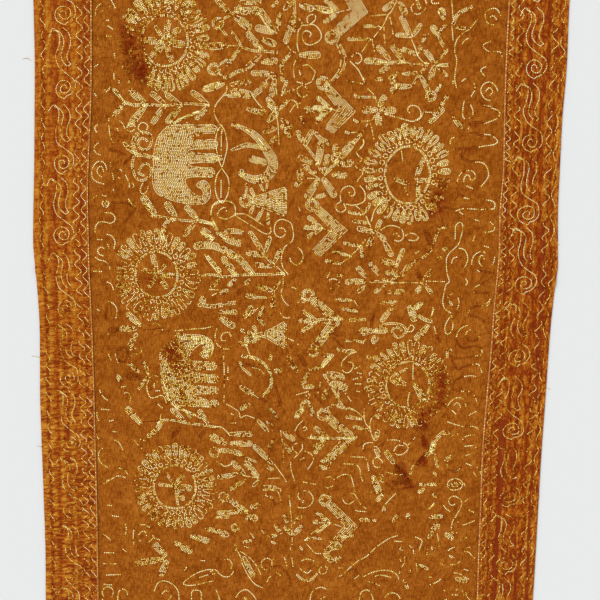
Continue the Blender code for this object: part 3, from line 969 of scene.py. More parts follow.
# %% Layout of the leaves: ones turned from the light, in painted shade
TURNED_AWAY_LEAVES = (
    (-87, -21, -95, -32, 7), (213, 85, 224, 60, 10), (199, 16, 210, 1, 8), (9, -135, 21, -154, 8),
    (-293, -98, -312, -99, 10), (-260, -180, -281, -178, 14), (-192, -269, -206, -285, 9),
    (-149, -271, -158, -286, 7), (217, -326, 228, -311, 8), (223, -275, 234, -295, 10),
    (217, -243, 228, -261, 12), (179, -329, 197, -345, 10), (28, -222, 37, -238, 7),
    (133, -63, 129, -82, 5), (215, -326, 231, -304, 7), (179, -340, 194, -325, 12),
    (182, -354, 206, -357, 12),
)
LEAVES = {BRIGHT: BRIGHT_LEAVES, MIDDLE: MIDDLE_LEAVES, DULL: DULL_LEAVES, TURNED_AWAY: TURNED_AWAY_LEAVES}
print("leaves", sum(map(len, LEAVES.values())))

# %% Layout of the round heads
HEADS = {
    BRIGHT: (
        (-132, 409, 10.4), (-138, 337, 11.6), (213, 302, 9.7), (223, 434, 5.6), (14, -40, 5.0),
        (-314, 115, 4.1),
    ),
    MIDDLE: (
        (44, 317, 4.8), (149, 326, 7.2), (-48, 282, 4.9), (-132, -311, 10.3), (-116, -393, 10.4),
        (33, -129, 10.1), (58, -328, 11.2), (124, 80, 4.6),
    ),
}

# %% Layout of the stalks
STALKS = {
    (13, BRIGHT): ((-164, 48, -151, 50, -134, 49, -116, 41, -103, 33),),
    (11, BRIGHT): ((87, -479, 71, -483, 64, -494, 72, -505),),
    (10, BRIGHT): (
        (-196, -106, -175, -108, -153, -109, -142, -116, -140, -128, -145, -140),
        (-120, -307, -103, -308, -89, -313),
    ),
    (9, BRIGHT): (
        (-124, 69, -111, 74, -91, 73), (-225, -260, -232, -273, -245, -284),
    ),
    (8, BRIGHT): (
        (-159, -52, -134, -53, -100, -47), (240, -298, 244, -285, 251, -275, 259, -267, 267, -267),
        (29, 237, 37, 229, 44, 226, 50, 221),
    ),
    (7, BRIGHT): (
        (-253, 234, -262, 231, -267, 224, -269, 214, -266, 205, -264, 196),
        (-264, 196, -253, 197, -241, 194, -230, 192), (-204, 91, -212, 89, -219, 79, -221, 65, -216, 50),
        (-40, -337, -33, -341), (50, -134, 65, -135), (207, -61, 218, -68, 229, -71),
    ),
    (7, MIDDLE): (
        (-96, 371, -107, 355, -115, 344), (-138, 87, -128, 69), (-88, -95, -71, -100, -59, -108),
        (-91, -116, -81, -119, -74, -112),
    ),
    (7, DULL): ((-29, 346, -27, 322),),
    (6, BRIGHT): (
        (-280, 280, -267, 277, -252, 279), (184, 449, 188, 440), (243, 416, 250, 432, 270, 443),
        (141, 354, 167, 355), (-86, -139, -65, -143, -48, -154, -39, -169, -37, -187, -42, -199, -51, -208),
        (-80, -475, -69, -473), (43, 171, 55, 182, 64, 194),
    ),
    (6, MIDDLE): (
        (-130, 331, -118, 323, -102, 333, -88, 337), (-16, 363, -29, 347),
    ),
    (5, BRIGHT): (
        (-249, 279, -217, 278, -184, 281, -147, 280),
        (-286, 337, -278, 334, -275, 326, -273, 318, -275, 312),
        (-248, 234, -241, 231, -238, 223, -240, 213, -245, 207, -253, 206, -259, 211, -261, 219, -256, 224,
         -249, 223, -246, 220),
        (-268, 193, -271, 180, -269, 169, -265, 160, -256, 156, -247, 159, -240, 166, -238, 174, -243, 181,
         -251, 182, -258, 175, -260, 167, -253, 164), (-92, 371, -77, 368, -61, 367), (-59, 367, -37, 365),
        (57, 324, 70, 342, 72, 362, 65, 379), (220, 398, 226, 411, 233, 413),
        (-159, -2, -139, 0, -119, -2, -92, 1, -56, 3, -19, 4), (-63, -36, -48, -37),
        (-51, 36, -38, 21, -19, 2), (-34, 126, -28, 121), (126, -6, 151, -4), (145, -1, 153, -2),
        (-91, -149, -85, -161, -73, -172), (28, -159, 45, -157, 62, -139),
        (-239, 97, -225, 97, -201, 92, -176, 90, -151, 87, -136, 84),
        (-230, -261, -221, -255, -201, -255, -184, -260, -158, -262, -132, -265),
        (-199, -229, -185, -238, -175, -250),
        (-96, -442, -91, -445, -92, -453, -99, -453, -101, -446, -96, -442), (-31, -474, -26, -477),
        (18, -482, 22, -486), (27, -469, 42, -465, 55, -466), (-96, -481, -94, -490),
        (14, -535, 21, -542, 30, -546, 41, -542, 49, -532), (-77, -581, -73, -585),
        (38, -73, 60, -71, 82, -71), (135, -99, 140, -104, 135, -111, 132, -106, 135, -99),
        (138, -87, 149, -79, 162, -76, 176, -77, 185, -82, 188, -89, 183, -96, 175, -100, 168, -96, 165,
         -89, 171, -82, 180, -87), (86, -109, 106, -108, 118, -111), (73, -123, 76, -126),
        (52, -169, 66, -190, 83, -219), (174, -164, 166, -173, 175, -182, 183, -173, 176, -164),
        (29, -281, 65, -281, 105, -280), (143, -239, 147, -243), (193, -480, 197, -483),
        (259, -132, 259, -124, 265, -120), (247, -340, 252, -345), (248, -380, 252, -384),
        (282, -493, 287, -496), (90, 301, 95, 298, 123, 298), (90, 261, 95, 258), (77, 241, 82, 240),
        (104, 327, 107, 322), (-201, 250, -183, 260, -163, 268),
    ),
    (5, MIDDLE): (
        (-122, 417, -113, 422, -102, 430), (-129, 402, -119, 391), (-111, 396, -103, 387, -96, 374),
        (-128, 345, -117, 352), (-11, 446, -9, 425, -10, 400), (-26, 298, -18, 303, -9, 307),
        (167, 355, 177, 352, 190, 351, 203, 354), (203, 349, 194, 337, 183, 319), (-104, 33, -96, 29),
        (260, -37, 263, -42), (-80, -73, -63, -55), (-245, 115, -239, 102),
        (-150, -135, -152, -126, -148, -121, -158, -118, -175, -125, -189, -129),
        (-89, -313, -73, -322, -59, -329), (-43, -387, -31, -392), (37, -157, 50, -155),
        (59, -229, 72, -220), (181, -162, 193, -155), (210, -328, 205, -343),
        (81, -467, 97, -461, 110, -459), (265, -316, 268, -312, 276, -308), (249, -478, 253, -484),
        (13, 216, 30, 195, 37, 180, 42, 174),
    ),
    (5, DULL): ((192, 29, 203, 33, 215, 40, 226, 52, 229, 62, 233, 75, 237, 86, 247, 89),),
    (5, TURNED_AWAY): (
        (-269, 196, -277, 188, -284, 181), (-307, 204, -294, 201, -282, 196),
        (236, 114, 239, 121, 249, 121, 259, 119), (-76, -105, -72, -112), (-79, -153, -60, -161),
        (-63, -210, -45, -217), (-29, -192, -20, -224), (-304, 117, -278, 116, -267, 106, -283, 86),
        (-315, -62, -317, -80), (-299, -133, -287, -128, -280, -138, -285, -152, -297, -152),
        (-30, -396, -27, -403), (-37, -297, -39, -317), (-38, -229, -31, -240, -23, -249),
        (9, -275, 21, -287), (-30, -519, -16, -520, -4, -530, 2, -541), (57, -90, 72, -100),
        (66, -104, 80, -117), (38, -203, 50, -218), (105, -525, 114, -521, 120, -530, 115, -540),
        (293, 293, 301, 288, 309, 287), (278, 259, 288, 262, 301, 261), (280, 244, 289, 244, 300, 241),
        (256, 219, 264, 218, 277, 220, 293, 222), (267, 213, 268, 207, 271, 202, 281, 199, 289, 199),
        (262, 154, 268, 144, 274, 140), (309, 17, 319, 15, 329, 12), (302, -21, 313, -21, 323, -22),
        (239, -95, 246, -105), (310, -43, 302, -43, 295, -47), (293, -57, 301, -60, 311, -64, 318, -69),
        (275, -103, 279, -111, 287, -116, 297, -114, 307, -112, 316, -114),
        (291, -95, 295, -102, 302, -104, 310, -100),
        (264, -131, 273, -134, 285, -135, 295, -133, 307, -130),
        (268, -139, 274, -148, 279, -153, 289, -149, 301, -146), (278, -171, 288, -167),
        (275, -174, 272, -183, 274, -190, 284, -192), (294, -256, 304, -254),
        (272, -334, 283, -337, 291, -330), (170, -314, 182, -329, 195, -343, 210, -368),
        (166, -362, 182, -372, 206, -366), (176, -356, 189, -361, 202, -352),
        (210, -258, 218, -268, 227, -277),
    ),
}
print("heads", sum(map(len, HEADS.values())), "stalks", sum(map(len, STALKS.values())))

# %% Layout of the single rows: bright ones
BRIGHT_STEMS = (
    (-302, 441, -295, 428), (-311, 410, -306, 410), (-309, 402, -304, 399, -300, 396),
    (-299, 359, -297, 349), (-299, 329, -299, 318), (-311, 385, -301, 384),
    (-254, 234, -261, 239, -259, 247, -253, 250, -246, 245, -248, 237, -253, 234),
    (-326, 245, -331, 239, -328, 231), (-325, 215, -331, 210, -333, 203, -328, 197, -322, 194),
    (-312, 171, -315, 179, -322, 184, -330, 182, -337, 172, -337, 160, -330, 152, -317, 148),
    (-322, 130, -314, 128), (-318, 110, -321, 115, -318, 120, -311, 118, -311, 112, -316, 108),
    (-291, 173, -287, 170), (-118, 314, -118, 301, -125, 293, -133, 283, -137, 270, -134, 258, -128, 248),
    (-76, 296, -65, 283, -53, 272), (-68, 425, -59, 413, -47, 397), (-3, 404, -5, 392, -5, 378, -2, 367),
    (-2, 401, 1, 408, 10, 409, 20, 410, 28, 405, 33, 397, 33, 388, 27, 382, 17, 378, 8, 381, 3, 389, 4, 397,
     10, 400, 17, 396, 15, 391), (12, 411, 10, 419, 15, 425, 23, 425, 23, 417, 16, 411),
    (151, 447, 143, 432, 139, 428, 131, 410, 118, 393),
    (179, 446, 175, 441, 177, 435, 183, 430, 191, 432, 197, 437, 200, 445, 197, 452),
    (178, 391, 186, 374, 189, 366, 199, 354, 207, 353), (-144, -26, -127, -26), (-139, -36, -130, -31),
    (-29, 80, -24, 81, -19, 77, -19, 70, -25, 65, -33, 68, -37, 78, -34, 90, -26, 95, -14, 93, -7, 85, -5,
     70, -8, 58, -18, 50, -23, 38, -24, 28, -21, 14, -12, 3),
    (73, 127, 71, 140, 74, 148, 82, 153, 90, 152, 95, 145, 94, 139, 87, 137, 85, 144),
    (103, 155, 110, 147, 112, 138, 110, 129, 102, 124, 91, 122, 81, 124), (123, 95, 127, 113, 132, 121),
    (140, 82, 151, 89, 165, 89, 175, 84, 178, 76, 177, 68, 170, 64, 162, 66), (198, 44, 204, 48),
    (263, 66, 262, 88, 267, 96, 272, 96, 275, 90, 273, 75, 270, 63, 265, 56, 256, 47, 251, 36, 252, 20, 254,
     9, 258, -2, 252, -8, 249, -22, 248, -39, 252, -50), (273, -28, 275, -39, 272, -49),
    (261, 116, 275, 120), (267, 115, 274, 110), (-10, -106, 0, -111), (4, -114, 7, -117),
    (-319, 100, -308, 100, -301, 95, -301, 87, -308, 83, -315, 85, -326, 85, -331, 78, -333, 68),
    (-313, 65, -305, 62, -300, 52, -302, 40), (-317, 40, -324, 43, -329, 38, -327, 31, -320, 28),
    (-330, 56, -320, 56), (-313, -49, -305, -52, -298, -62, -300, -78), (-320, -106, -312, -106),
    (-243, -179, -248, -192, -248, -202, -243, -215, -235, -216, -225, -212, -218, -216, -214, -225),
    (-235, -204, -226, -203), (-327, -238, -312, -239), (-261, -290, -251, -293), (-320, -366, -312, -366),
    (-319, -412, -310, -412), (-311, -432, -298, -434), (-327, -501, -308, -501), (-327, -522, -303, -522),
    (-324, -543, -296, -542), (-328, -560, -312, -562),
    (-250, -468, -253, -460, -260, -461, -264, -468, -262, -479),
    (-244, -453, -253, -447, -264, -449, -272, -457, -274, -470, -273, -485), (-157, -512, -148, -512),
    (-130, -529, -144, -529, -160, -535, -176, -545, -185, -555, -181, -559, -164, -558, -134, -550),
    (-238, -573, -232, -558, -220, -552, -206, -557, -195, -570, -194, -589),
    (-172, -587, -171, -572, -164, -568, -155, -571, -153, -588),
    (-114, -224, -100, -231, -91, -238, -88, -247, -78, -243, -65, -248), (-108, -258, -96, -257),
    (-141, -266, -125, -265, -115, -270, -108, -277), (-130, -327, -121, -332, -114, -336, -102, -332),
    (-40, -357, -19, -355), (-30, -330, -21, -342, -12, -353, -7, -362), (18, -251, 10, -260, 5, -271),
    (18, -293, 18, -302, 13, -309, 4, -318), (21, -305, 32, -309, 37, -316, 37, -323, 29, -338),
    (30, -238, 34, -242), (21, -378, 32, -380, 39, -390, 36, -403, 24, -409, 13, -408),
    (-77, -462, -68, -460, -61, -471), (-49, -452, -43, -461), (27, -469, 37, -457, 46, -450),
    (-139, -533, -130, -529, -123, -536, -114, -542, -104, -540, -97, -530),
    (-115, -510, -106, -509, -100, -517, -102, -526),
    (-94, -488, -87, -501, -81, -518, -74, -533, -67, -546, -58, -556, -47, -561),
    (-88, -492, -78, -499, -65, -510, -56, -521, -49, -536), (-23, -530, -14, -537),
    (19, -522, 23, -527, 32, -531, 39, -525), (22, -508, 31, -504, 43, -508, 51, -519),
    (-93, -581, -86, -570, -75, -566, -65, -573, -57, -584),
    (190, -87, 196, -78, 201, -82, 198, -89, 190, -89),
    (107, -127, 95, -131, 85, -140, 81, -149, 84, -161, 93, -164, 99, -159, 101, -150, 97, -145, 91, -145),
    (114, -152, 104, -157), (108, -164, 117, -166), (102, -176, 117, -171), (105, -183, 116, -183),
    (107, -196, 114, -197), (202, -132, 204, -174), (141, -239, 135, -247, 133, -259, 135, -270, 141, -284),
    (89, -327, 101, -327, 113, -328, 119, -337, 121, -348, 125, -357),
    (79, -353, 88, -347, 102, -347, 107, -356, 111, -376),
    (162, -282, 177, -282, 189, -285, 200, -292, 198, -301, 190, -308, 182, -309, 176, -302, 181, -292, 191,
     -292), (149, -313, 141, -320, 144, -331, 153, -331, 158, -322, 149, -313),
    (183, -378, 173, -389, 161, -404), (89, -387, 93, -397, 102, -400, 112, -392),
    (112, -411, 118, -413, 133, -414),
    (86, -537, 95, -533, 107, -519, 121, -506, 134, -498, 148, -483, 162, -471, 175, -461, 189, -456),
    (182, -467, 196, -467), (217, -457, 224, -460, 231, -464, 230, -471, 227, -483),
    (129, -536, 143, -528, 156, -524, 170, -522, 183, -525, 192, -533, 194, -542), (86, -520, 95, -520),
    (125, -580, 128, -566, 133, -561, 140, -560, 146, -568, 150, -581),
    (169, -575, 177, -567, 190, -567, 199, -578), (249, -548, 258, -544, 265, -540, 268, -536),
    (247, -533, 252, -533), (311, 285, 321, 282, 326, 277, 324, 271, 318, 266, 302, 261),
    (302, 243, 313, 242), (316, 240, 323, 235, 325, 231, 320, 227, 309, 225, 295, 222),
    (289, 197, 298, 197, 306, 193, 311, 185, 312, 175, 307, 165, 301, 157),
    (285, 184, 290, 179, 292, 173, 289, 168, 284, 169, 282, 174, 277, 176, 273, 169, 273, 163),
    (274, 138, 284, 136), (278, 158, 290, 153), (304, 137, 321, 134, 326, 129, 325, 122, 321, 121),
    (302, 120, 312, 121), (291, 103, 298, 102, 303, 100), (318, 101, 326, 94, 328, 88, 323, 84, 312, 82),
    (311, 60, 320, 57), (312, 50, 316, 47), (300, 20, 307, 15),
    (314, 37, 312, 42, 309, 44, 306, 38, 306, 30, 312, 23),
    (263, -60, 256, -72, 254, -86, 257, -93, 262, -92, 267, -84, 266, -70, 263, -60),
    (292, -76, 284, -80, 277, -87, 274, -97), (302, -146, 311, -144, 316, -149, 320, -159),
    (290, -167, 300, -165, 310, -166), (286, -192, 293, -193, 301, -193),
    (275, -219, 280, -213, 285, -216, 287, -222), (272, -226, 279, -233),
    (265, -246, 270, -249, 280, -252, 294, -256), (292, -279, 297, -273, 305, -270, 314, -269),
    (296, -290, 311, -289), (301, -322, 312, -326),
    (292, -385, 285, -381, 278, -383, 275, -389, 277, -396, 282, -399, 287, -396),
    (300, -434, 308, -432, 322, -426), (309, -406, 319, -410), (309, -477, 321, -475),
    (282, -510, 291, -509, 300, -503), (306, -517, 315, -520), (290, -524, 301, -526, 310, -532, 317, -535),
    (272, -557, 276, -559), (322, 309, 317, 320, 307, 326, 296, 321, 293, 310, 300, 299, 310, 296),
    (270, 410, 281, 425), (138, 273, 153, 269, 166, 266, 184, 261, 197, 266, 203, 278),
    (82, 361, 88, 367, 96, 366, 100, 358, 95, 352, 89, 353),
    (-126, 248, -118, 235, -116, 214, -119, 195, -124, 180, -130, 195, -134, 214, -132, 235, -126, 248),
    (-124, 178, -115, 165, -112, 149, -115, 133, -123, 121, -132, 132, -135, 149, -132, 165, -124, 178),
    (-124, 243, -126, 201), (-125, 159, -125, 129), (-141, 100, -138, 115, -123, 124),
    (182, 274, 177, 277, 178, 284, 184, 287, 193, 284, 198, 276, 197, 268, 190, 263), (204, 276, 216, 276),
)

# %% Layout of the single rows: middle ones
MIDDLE_STEMS = (
    (-302, 303, -294, 299, -288, 289, -283, 282, -283, 275), (-317, 436, -323, 432, -327, 424, -327, 416),
    (-314, 426, -319, 421), (-307, 435, -303, 429), (-331, 336, -324, 341), (-291, 321, -291, 312),
    (-314, 306, -314, 300), (-332, 296, -325, 285), (-306, 307, -307, 302, -312, 297),
    (-279, 241, -274, 248, -267, 245, -267, 239, -272, 235, -279, 238), (-292, 252, -285, 246, -282, 240),
    (-252, 154, -245, 148, -247, 138, -253, 133, -258, 139, -255, 148, -252, 154),
    (-317, 167, -319, 174, -323, 176, -328, 171, -327, 164, -320, 159),
    (-283, 167, -279, 158, -276, 150, -276, 142), (-336, 124, -329, 129), (-295, 240, -292, 235),
    (-295, 220, -289, 219), (-2, 359, -8, 348, -9, 337, -7, 324),
    (5, 345, 13, 347, 20, 342, 25, 336, 23, 328, 19, 320, 9, 315), (-4, 320, 7, 317),
    (-14, 270, -11, 276, -5, 283, 3, 286), (-39, 284, -35, 258, -31, 218),
    (-21, 278, -19, 286, -11, 291, -3, 286, -1, 278), (51, 322, 52, 324, 63, 340, 66, 361, 59, 381),
    (139, 428, 112, 426), (142, 425, 148, 398), (133, 409, 136, 384), (115, 388, 120, 370),
    (110, 388, 99, 369), (206, 452, 210, 448, 219, 448), (199, 398, 207, 401),
    (239, 453, 243, 422, 246, 418), (241, 414, 244, 390),
    (270, 409, 261, 404, 252, 394, 248, 383, 248, 372, 252, 360, 251, 347, 249, 331, 253, 316),
    (268, 395, 262, 390, 259, 384), (260, 325, 266, 330), (247, 328, 247, 322),
    (-115, 106, -117, 113, -123, 112, -128, 107, -130, 101, -125, 96, -116, 94, -108, 98, -102, 103, -102,
     113, -107, 121, -117, 124, -128, 124, -138, 117, -141, 107, -140, 97, -135, 86, -128, 74),
    (-144, 22, -129, 3), (-152, 35, -144, 22), (-102, 103, -85, 103, -69, 95, -54, 84),
    (-102, 101, -90, 93, -73, 84, -57, 74, -47, 71, -42, 76, -44, 83), (2, 50, 9, 44, 12, 34, 9, 25, 1, 20),
    (-10, 33, -8, 26, -1, 21), (-21, 1, -20, -15, -22, -28, -18, -40, -10, -50),
    (73, 127, 66, 123, 65, 115, 73, 110, 81, 115, 78, 124), (97, 121, 106, 114, 114, 105, 120, 93),
    (121, 93, 125, 81, 129, 76), (172, 71, 168, 77, 163, 77, 160, 72),
    (180, 73, 190, 78, 198, 76, 202, 71, 197, 66, 187, 66), (236, 37, 239, 40, 243, 37, 240, 34, 236, 37),
    (269, 54, 277, 53, 284, 45, 286, 35, 283, 24, 279, 19), (260, 27, 261, 36, 268, 39),
    (285, 4, 288, -3, 285, -8), (255, -32, 258, -27, 262, -24), (218, -2, 251, -2), (151, -4, 183, -7),
    (106, 54, 116, 68), (93, 39, 105, 52), (76, 23, 90, 35), (53, -1, 58, 9),
    (-130, -91, -133, -105, -130, -119, -121, -126, -109, -127, -106, -122),
    (-115, -113, -121, -113, -123, -108, -120, -101, -111, -99, -106, -106),
    (-24, -61, -21, -68, -12, -71, -4, -67), (-81, -119, -74, -137, -63, -149),
    (-70, -159, -56, -164, -46, -176), (-69, -205, -59, -212), (5, -205, 27, -198), (-313, 50, -310, 41),
    (-334, 26, -327, 21, -317, 19, -311, 14, -309, 6), (-336, 2, -321, 2),
    (-316, -15, -308, -19, -304, -28), (-332, -63, -328, -66), (-243, -90, -233, -85, -224, -90, -221, -97),
    (-201, -98, -175, -94, -154, -92, -137, -88),
    (-278, -133, -268, -129, -260, -129, -258, -136, -265, -139, -272, -138), (-270, -139, -279, -147),
    (-314, -140, -309, -151), (-302, -138, -297, -156),
    (-243, -179, -233, -177, -223, -184, -216, -198, -211, -214, -206, -224, -196, -235),
    (-236, -198, -236, -191, -230, -186), (-330, -201, -327, -209, -322, -216, -315, -222),
    (-293, -198, -282, -196), (-288, -210, -281, -208, -276, -215, -278, -226), (-230, -227, -221, -234),
    (-226, -244, -226, -255), (-334, -242, -334, -250, -331, -259), (-314, -259, -305, -257),
    (-309, -277, -300, -278), (-335, -281, -333, -290, -326, -295), (-306, -293, -297, -298, -290, -311),
    (-271, -292, -264, -301, -258, -308), (-325, -308, -330, -313, -332, -324, -328, -335, -316, -344),
    (-299, -343, -289, -347, -282, -356), (-288, -446, -286, -457, -288, -465, -293, -471),
    (-327, -466, -320, -471, -313, -477), (-292, -493, -285, -499), (-241, -466, -239, -471, -248, -481),
    (-239, -471, -227, -475), (-158, -545, -144, -539, -130, -536),
    (-225, -577, -218, -571, -208, -574, -208, -582, -213, -588),
    (-326, -585, -330, -575, -324, -566, -316, -566, -310, -573, -312, -585),
    (-302, -590, -300, -575, -293, -569, -286, -572, -284, -580), (-105, -240, -100, -243),
    (-93, -351, -76, -353, -55, -356), (-26, -374, -19, -375, -17, -383), (-43, -271, -29, -270),
    (-1, -324, 1, -340, 7, -360), (19, -266, 22, -262, 26, -265, 22, -269, 19, -266),
    (11, -291, 4, -295, 2, -302, 9, -309), (13, -322, 22, -318), (14, -382, 13, -389, 18, -395),
    (23, -391, 22, -400), (-3, -386, -1, -404, 2, -432, 4, -480), (-82, -483, -73, -486),
    (1, -484, 5, -503, 7, -524), (27, -474, 36, -483, 45, -493, 55, -494),
    (-39, -504, -48, -510, -48, -521, -39, -527, -30, -521, -30, -509, -39, -504),
    (-22, -502, -29, -508, -30, -517), (-9, -501, -6, -509, -4, -518), (-30, -538, -35, -542, -38, -549),
    (60, -517, 53, -523, 56, -532, 65, -530, 67, -520, 60, -517), (-128, -567, -125, -574, -121, -588),
    (38, -582, 41, -567, 50, -559, 59, -557, 70, -562), (56, -581, 65, -574), (65, -88, 47, -104),
    (117, -111, 128, -94), (124, -136, 127, -132, 131, -135, 128, -139, 124, -136), (89, -200, 101, -215),
    (198, -195, 197, -217, 205, -240), (231, -69, 232, -48), (107, -230, 123, -245),
    (124, -224, 123, -243, 126, -254, 134, -263), (123, -299, 124, -292, 131, -288, 140, -288),
    (101, -314, 125, -314, 130, -321, 134, -339), (59, -353, 69, -351, 76, -357),
    (56, -368, 64, -372, 73, -368), (200, -290, 211, -277), (165, -340, 174, -343, 186, -345, 193, -343),
    (101, -382, 110, -381, 121, -398, 133, -409), (239, -406, 249, -398), (209, -474, 216, -481, 218, -490),
    (242, -479, 241, -492), (203, -495, 203, -508, 198, -517, 194, -529), (194, -500, 198, -508),
    (223, -507, 225, -522), (214, -521, 213, -534), (150, -534, 162, -531, 180, -535),
    (138, -543, 150, -547, 161, -552), (115, -540, 123, -532), (266, 297, 265, 284, 266, 271, 270, 266),
    (277, 254, 275, 249), (255, 237, 248, 234, 247, 226), (282, 184, 271, 182, 264, 174, 260, 162),
    (296, 77, 293, 67), (307, 50, 299, 45, 294, 37, 293, 26), (331, 42, 330, 34, 327, 27),
    (308, -7, 300, -12, 299, -21), (326, -31, 325, -38, 319, -45), (234, -50, 229, -67),
    (235, -79, 239, -93), (252, -50, 262, -56), (325, -34, 320, -39, 314, -43), (294, -49, 291, -56),
    (289, -94, 291, -87, 297, -83), (316, -117, 318, -122, 315, -128, 307, -130), (308, -198, 314, -211),
    (262, -222, 268, -212, 276, -206, 287, -204, 294, -209, 296, -218), (300, -236, 305, -232, 313, -227),
    (304, -254, 313, -255, 320, -260), (273, -274, 278, -269, 285, -268), (315, -291, 320, -295, 324, -300),
    (299, -308, 304, -306, 312, -304), (283, -337, 291, -331), (314, -335, 320, -345),
    (283, -348, 273, -354, 272, -365, 283, -370, 295, -366, 296, -355, 283, -348), (299, -357, 303, -364),
    (241, -362, 251, -362, 258, -360),
    (294, -384, 298, -394, 295, -407, 290, -414, 287, -420, 282, -429, 281, -444, 285, -450, 292, -449),
    (303, -392, 308, -386), (243, -402, 249, -395), (265, -398, 270, -405, 278, -411),
    (261, -433, 260, -443), (257, -450, 259, -461, 262, -476), (298, -464, 303, -460, 311, -458),
    (306, -483, 315, -486, 320, -492, 326, -497), (278, -483, 283, -478, 290, -476), (266, -506, 274, -512),
    (322, -522, 327, -529), (294, -557, 299, -555), (287, -566, 298, -566), (280, -574, 273, -578),
    (313, -560, 315, -568, 321, -577), (305, 391, 293, 383, 303, 374, 320, 374, 325, 366),
    (302, 352, 291, 345, 298, 334), (301, 310, 307, 317, 313, 311, 308, 304),
    (319, 430, 312, 441, 301, 441, 293, 433, 297, 420, 308, 416), (281, 324, 283, 313, 277, 302),
    (298, 289, 311, 287), (300, 428, 306, 431, 311, 425), (9, 165, 30, 165),
    (102, 239, 105, 232, 107, 223, 101, 214, 95, 209, 98, 203, 105, 198, 100, 191, 95, 186, 99, 182, 105,
     179, 106, 174, 99, 165, 98, 160), (123, 298, 128, 284), (124, 270, 119, 262, 113, 260, 93, 259),
    (116, 258, 120, 245, 123, 231), (113, 257, 108, 248, 102, 243, 87, 241), (104, 319, 89, 322, 75, 323),
    (80, 355, 94, 342, 104, 325), (121, 302, 111, 312), (102, 240, 107, 224, 98, 213),
    (-183, 253, -179, 242), (-325, -373, -313, -366, -299, -358, -286, -361), (206, 452, 220, 459),
)

# %% Layout of the single rows: dull ones
DULL_STEMS = (
    (-327, 376, -324, 380), (-308, 255, -308, 239, -306, 226, -300, 215),
    (-307, 184, -304, 171, -302, 161, -301, 151), (-294, 160, -291, 157), (-273, 152, -268, 147, -270, 142),
    (-302, 143, -303, 137), (-116, 375, -100, 374), (-38, 317, -36, 298), (-24, 381, -16, 370, -7, 365),
    (-5, 423, 2, 412, 7, 408), (0, 339, 2, 332, 7, 328),
    (6, 315, -2, 310, -2, 302, 5, 296, 13, 299, 14, 307, 9, 313), (2, 117, 6, 105, 1, 97),
    (-7, -18, 0, -21, 7, -29, 10, -38, 5, -45), (178, -5, 213, -6),
    (55, -11, 58, -4, 66, -2, 73, -7, 73, -16, 67, -21, 58, -18), (99, -38, 108, -51), (-44, -72, -36, -66),
    (-119, -132, -117, -178, -117, -222), (-111, -157, -111, -181), (-278, 124, -270, 113),
    (-52, -378, -27, -379, -20, -386, -16, -403), (-19, -270, -15, -295, -13, -331), (21, -362, 43, -365),
    (47, -178, 43, -201), (270, 297, 278, 287, 282, 278, 281, 270, 274, 267), (321, 121, 279, 120),
    (303, -90, 308, -84), (312, -96, 316, -89), (270, -330, 268, -321, 273, -314), (320, -327, 328, -340),
    (292, -427, 293, -440), (306, -556, 310, -568), (168, 255, 166, 230, 172, 193), (175, 155, 182, 141),
)

# %% Layout of the single rows: ones turned from the light, in painted shade
TURNED_AWAY_STEMS = (
    (-251, -97, -219, -93), (-261, -260, -228, -257), (328, 7, 308, -7),
)
STEMS = {BRIGHT: BRIGHT_STEMS, MIDDLE: MIDDLE_STEMS, DULL: DULL_STEMS, TURNED_AWAY: TURNED_AWAY_STEMS}
print("stems", sum(map(len, STEMS.values())))

# %% [markdown]
# Now the layout is sewn. Every motif goes through one function, so that the part of the cloth which the
# photograph cuts off can be sewn too: there the pattern is taken to run on as it does further in.

# %% Stitching the panel
Again = namedtuple("Again", "low high shift")
AGAIN = (Again(66, 268, 387), Again(-290, -196, -386))
LAST_ROW = 662.0


def sew(kind, paths, tone):
    """Adds a motif's rows, and sews it again where the pattern runs on past the part that is seen."""
    rows.setdefault(kind, []).extend((waver(path), tone) for path in paths)
    heights = np.concatenate([path[:, 1] for path in paths])
    for again in AGAIN:
        low, high = heights.min(), heights.max()
        if again.low < low and high < again.high and abs(high + again.shift) < LAST_ROW:
            moved = [path + [0.0, again.shift] for path in paths if abs(low + again.shift) < LAST_ROW]
            rows[kind].extend((waver(path), tone) for path in moved)


for row in MEDALLIONS:
    sew("medallions", medallion(*row[:-1]), row.tone)
for row in ELEPHANTS:
    sew("figures", elephant(*row[:-1]), row.tone)
for row in BIRDS:
    sew("figures", bird(*row[:-1]), row.tone)
for row in PEOPLE:
    sew("figures", skirted(*row[:-1]), row.tone)
for row in STROKES:
    path = rounded(row.points)
    widths = np.interp(np.linspace(0, 1, len(path)), np.linspace(0, 1, len(row.widths)), row.widths)
    sew("figures", band(path, widths), row.tone)
print({kind: len(found) for kind, found in rows.items()})

# %% Stitching the leaves and stems
SIDE_PARTING = 20


def leaf_side(x):
    """The leaves of the two sides are two pieces, so that neither mesh is too large."""
    return "leaves_left" if x < SIDE_PARTING else "leaves_right"


for tone, leaves in LEAVES.items():
    for x1, y1, x2, y2, width in leaves:
        sew(leaf_side(x1), leaf(x1, y1, x2, y2, width), tone)
for tone, heads in HEADS.items():
    for x, y, radius in heads:
        sew(leaf_side(x), wheel(x, y, radius), tone)
for (width, tone), stalks in STALKS.items():
    for points in stalks:
        sew(leaf_side(points[0]), band(rounded(np.reshape(points, (-1, 2))), width), tone)
for tone, stems in STEMS.items():
    for points in stems:
        sew("scrolls", [rounded(np.reshape(points, (-1, 2)))], tone)
print({kind: len(found) for kind, found in rows.items()})

# %% [markdown]
# The borders have an older, simpler pattern: a spiral, then three S-shaped lines, over and over, with
# two zigzags beside the seam and one or two ragged ones beside the hem. Places here are measured in
# from the outer edge and then laid on the border's own outline, so the rows follow its uneven edges.

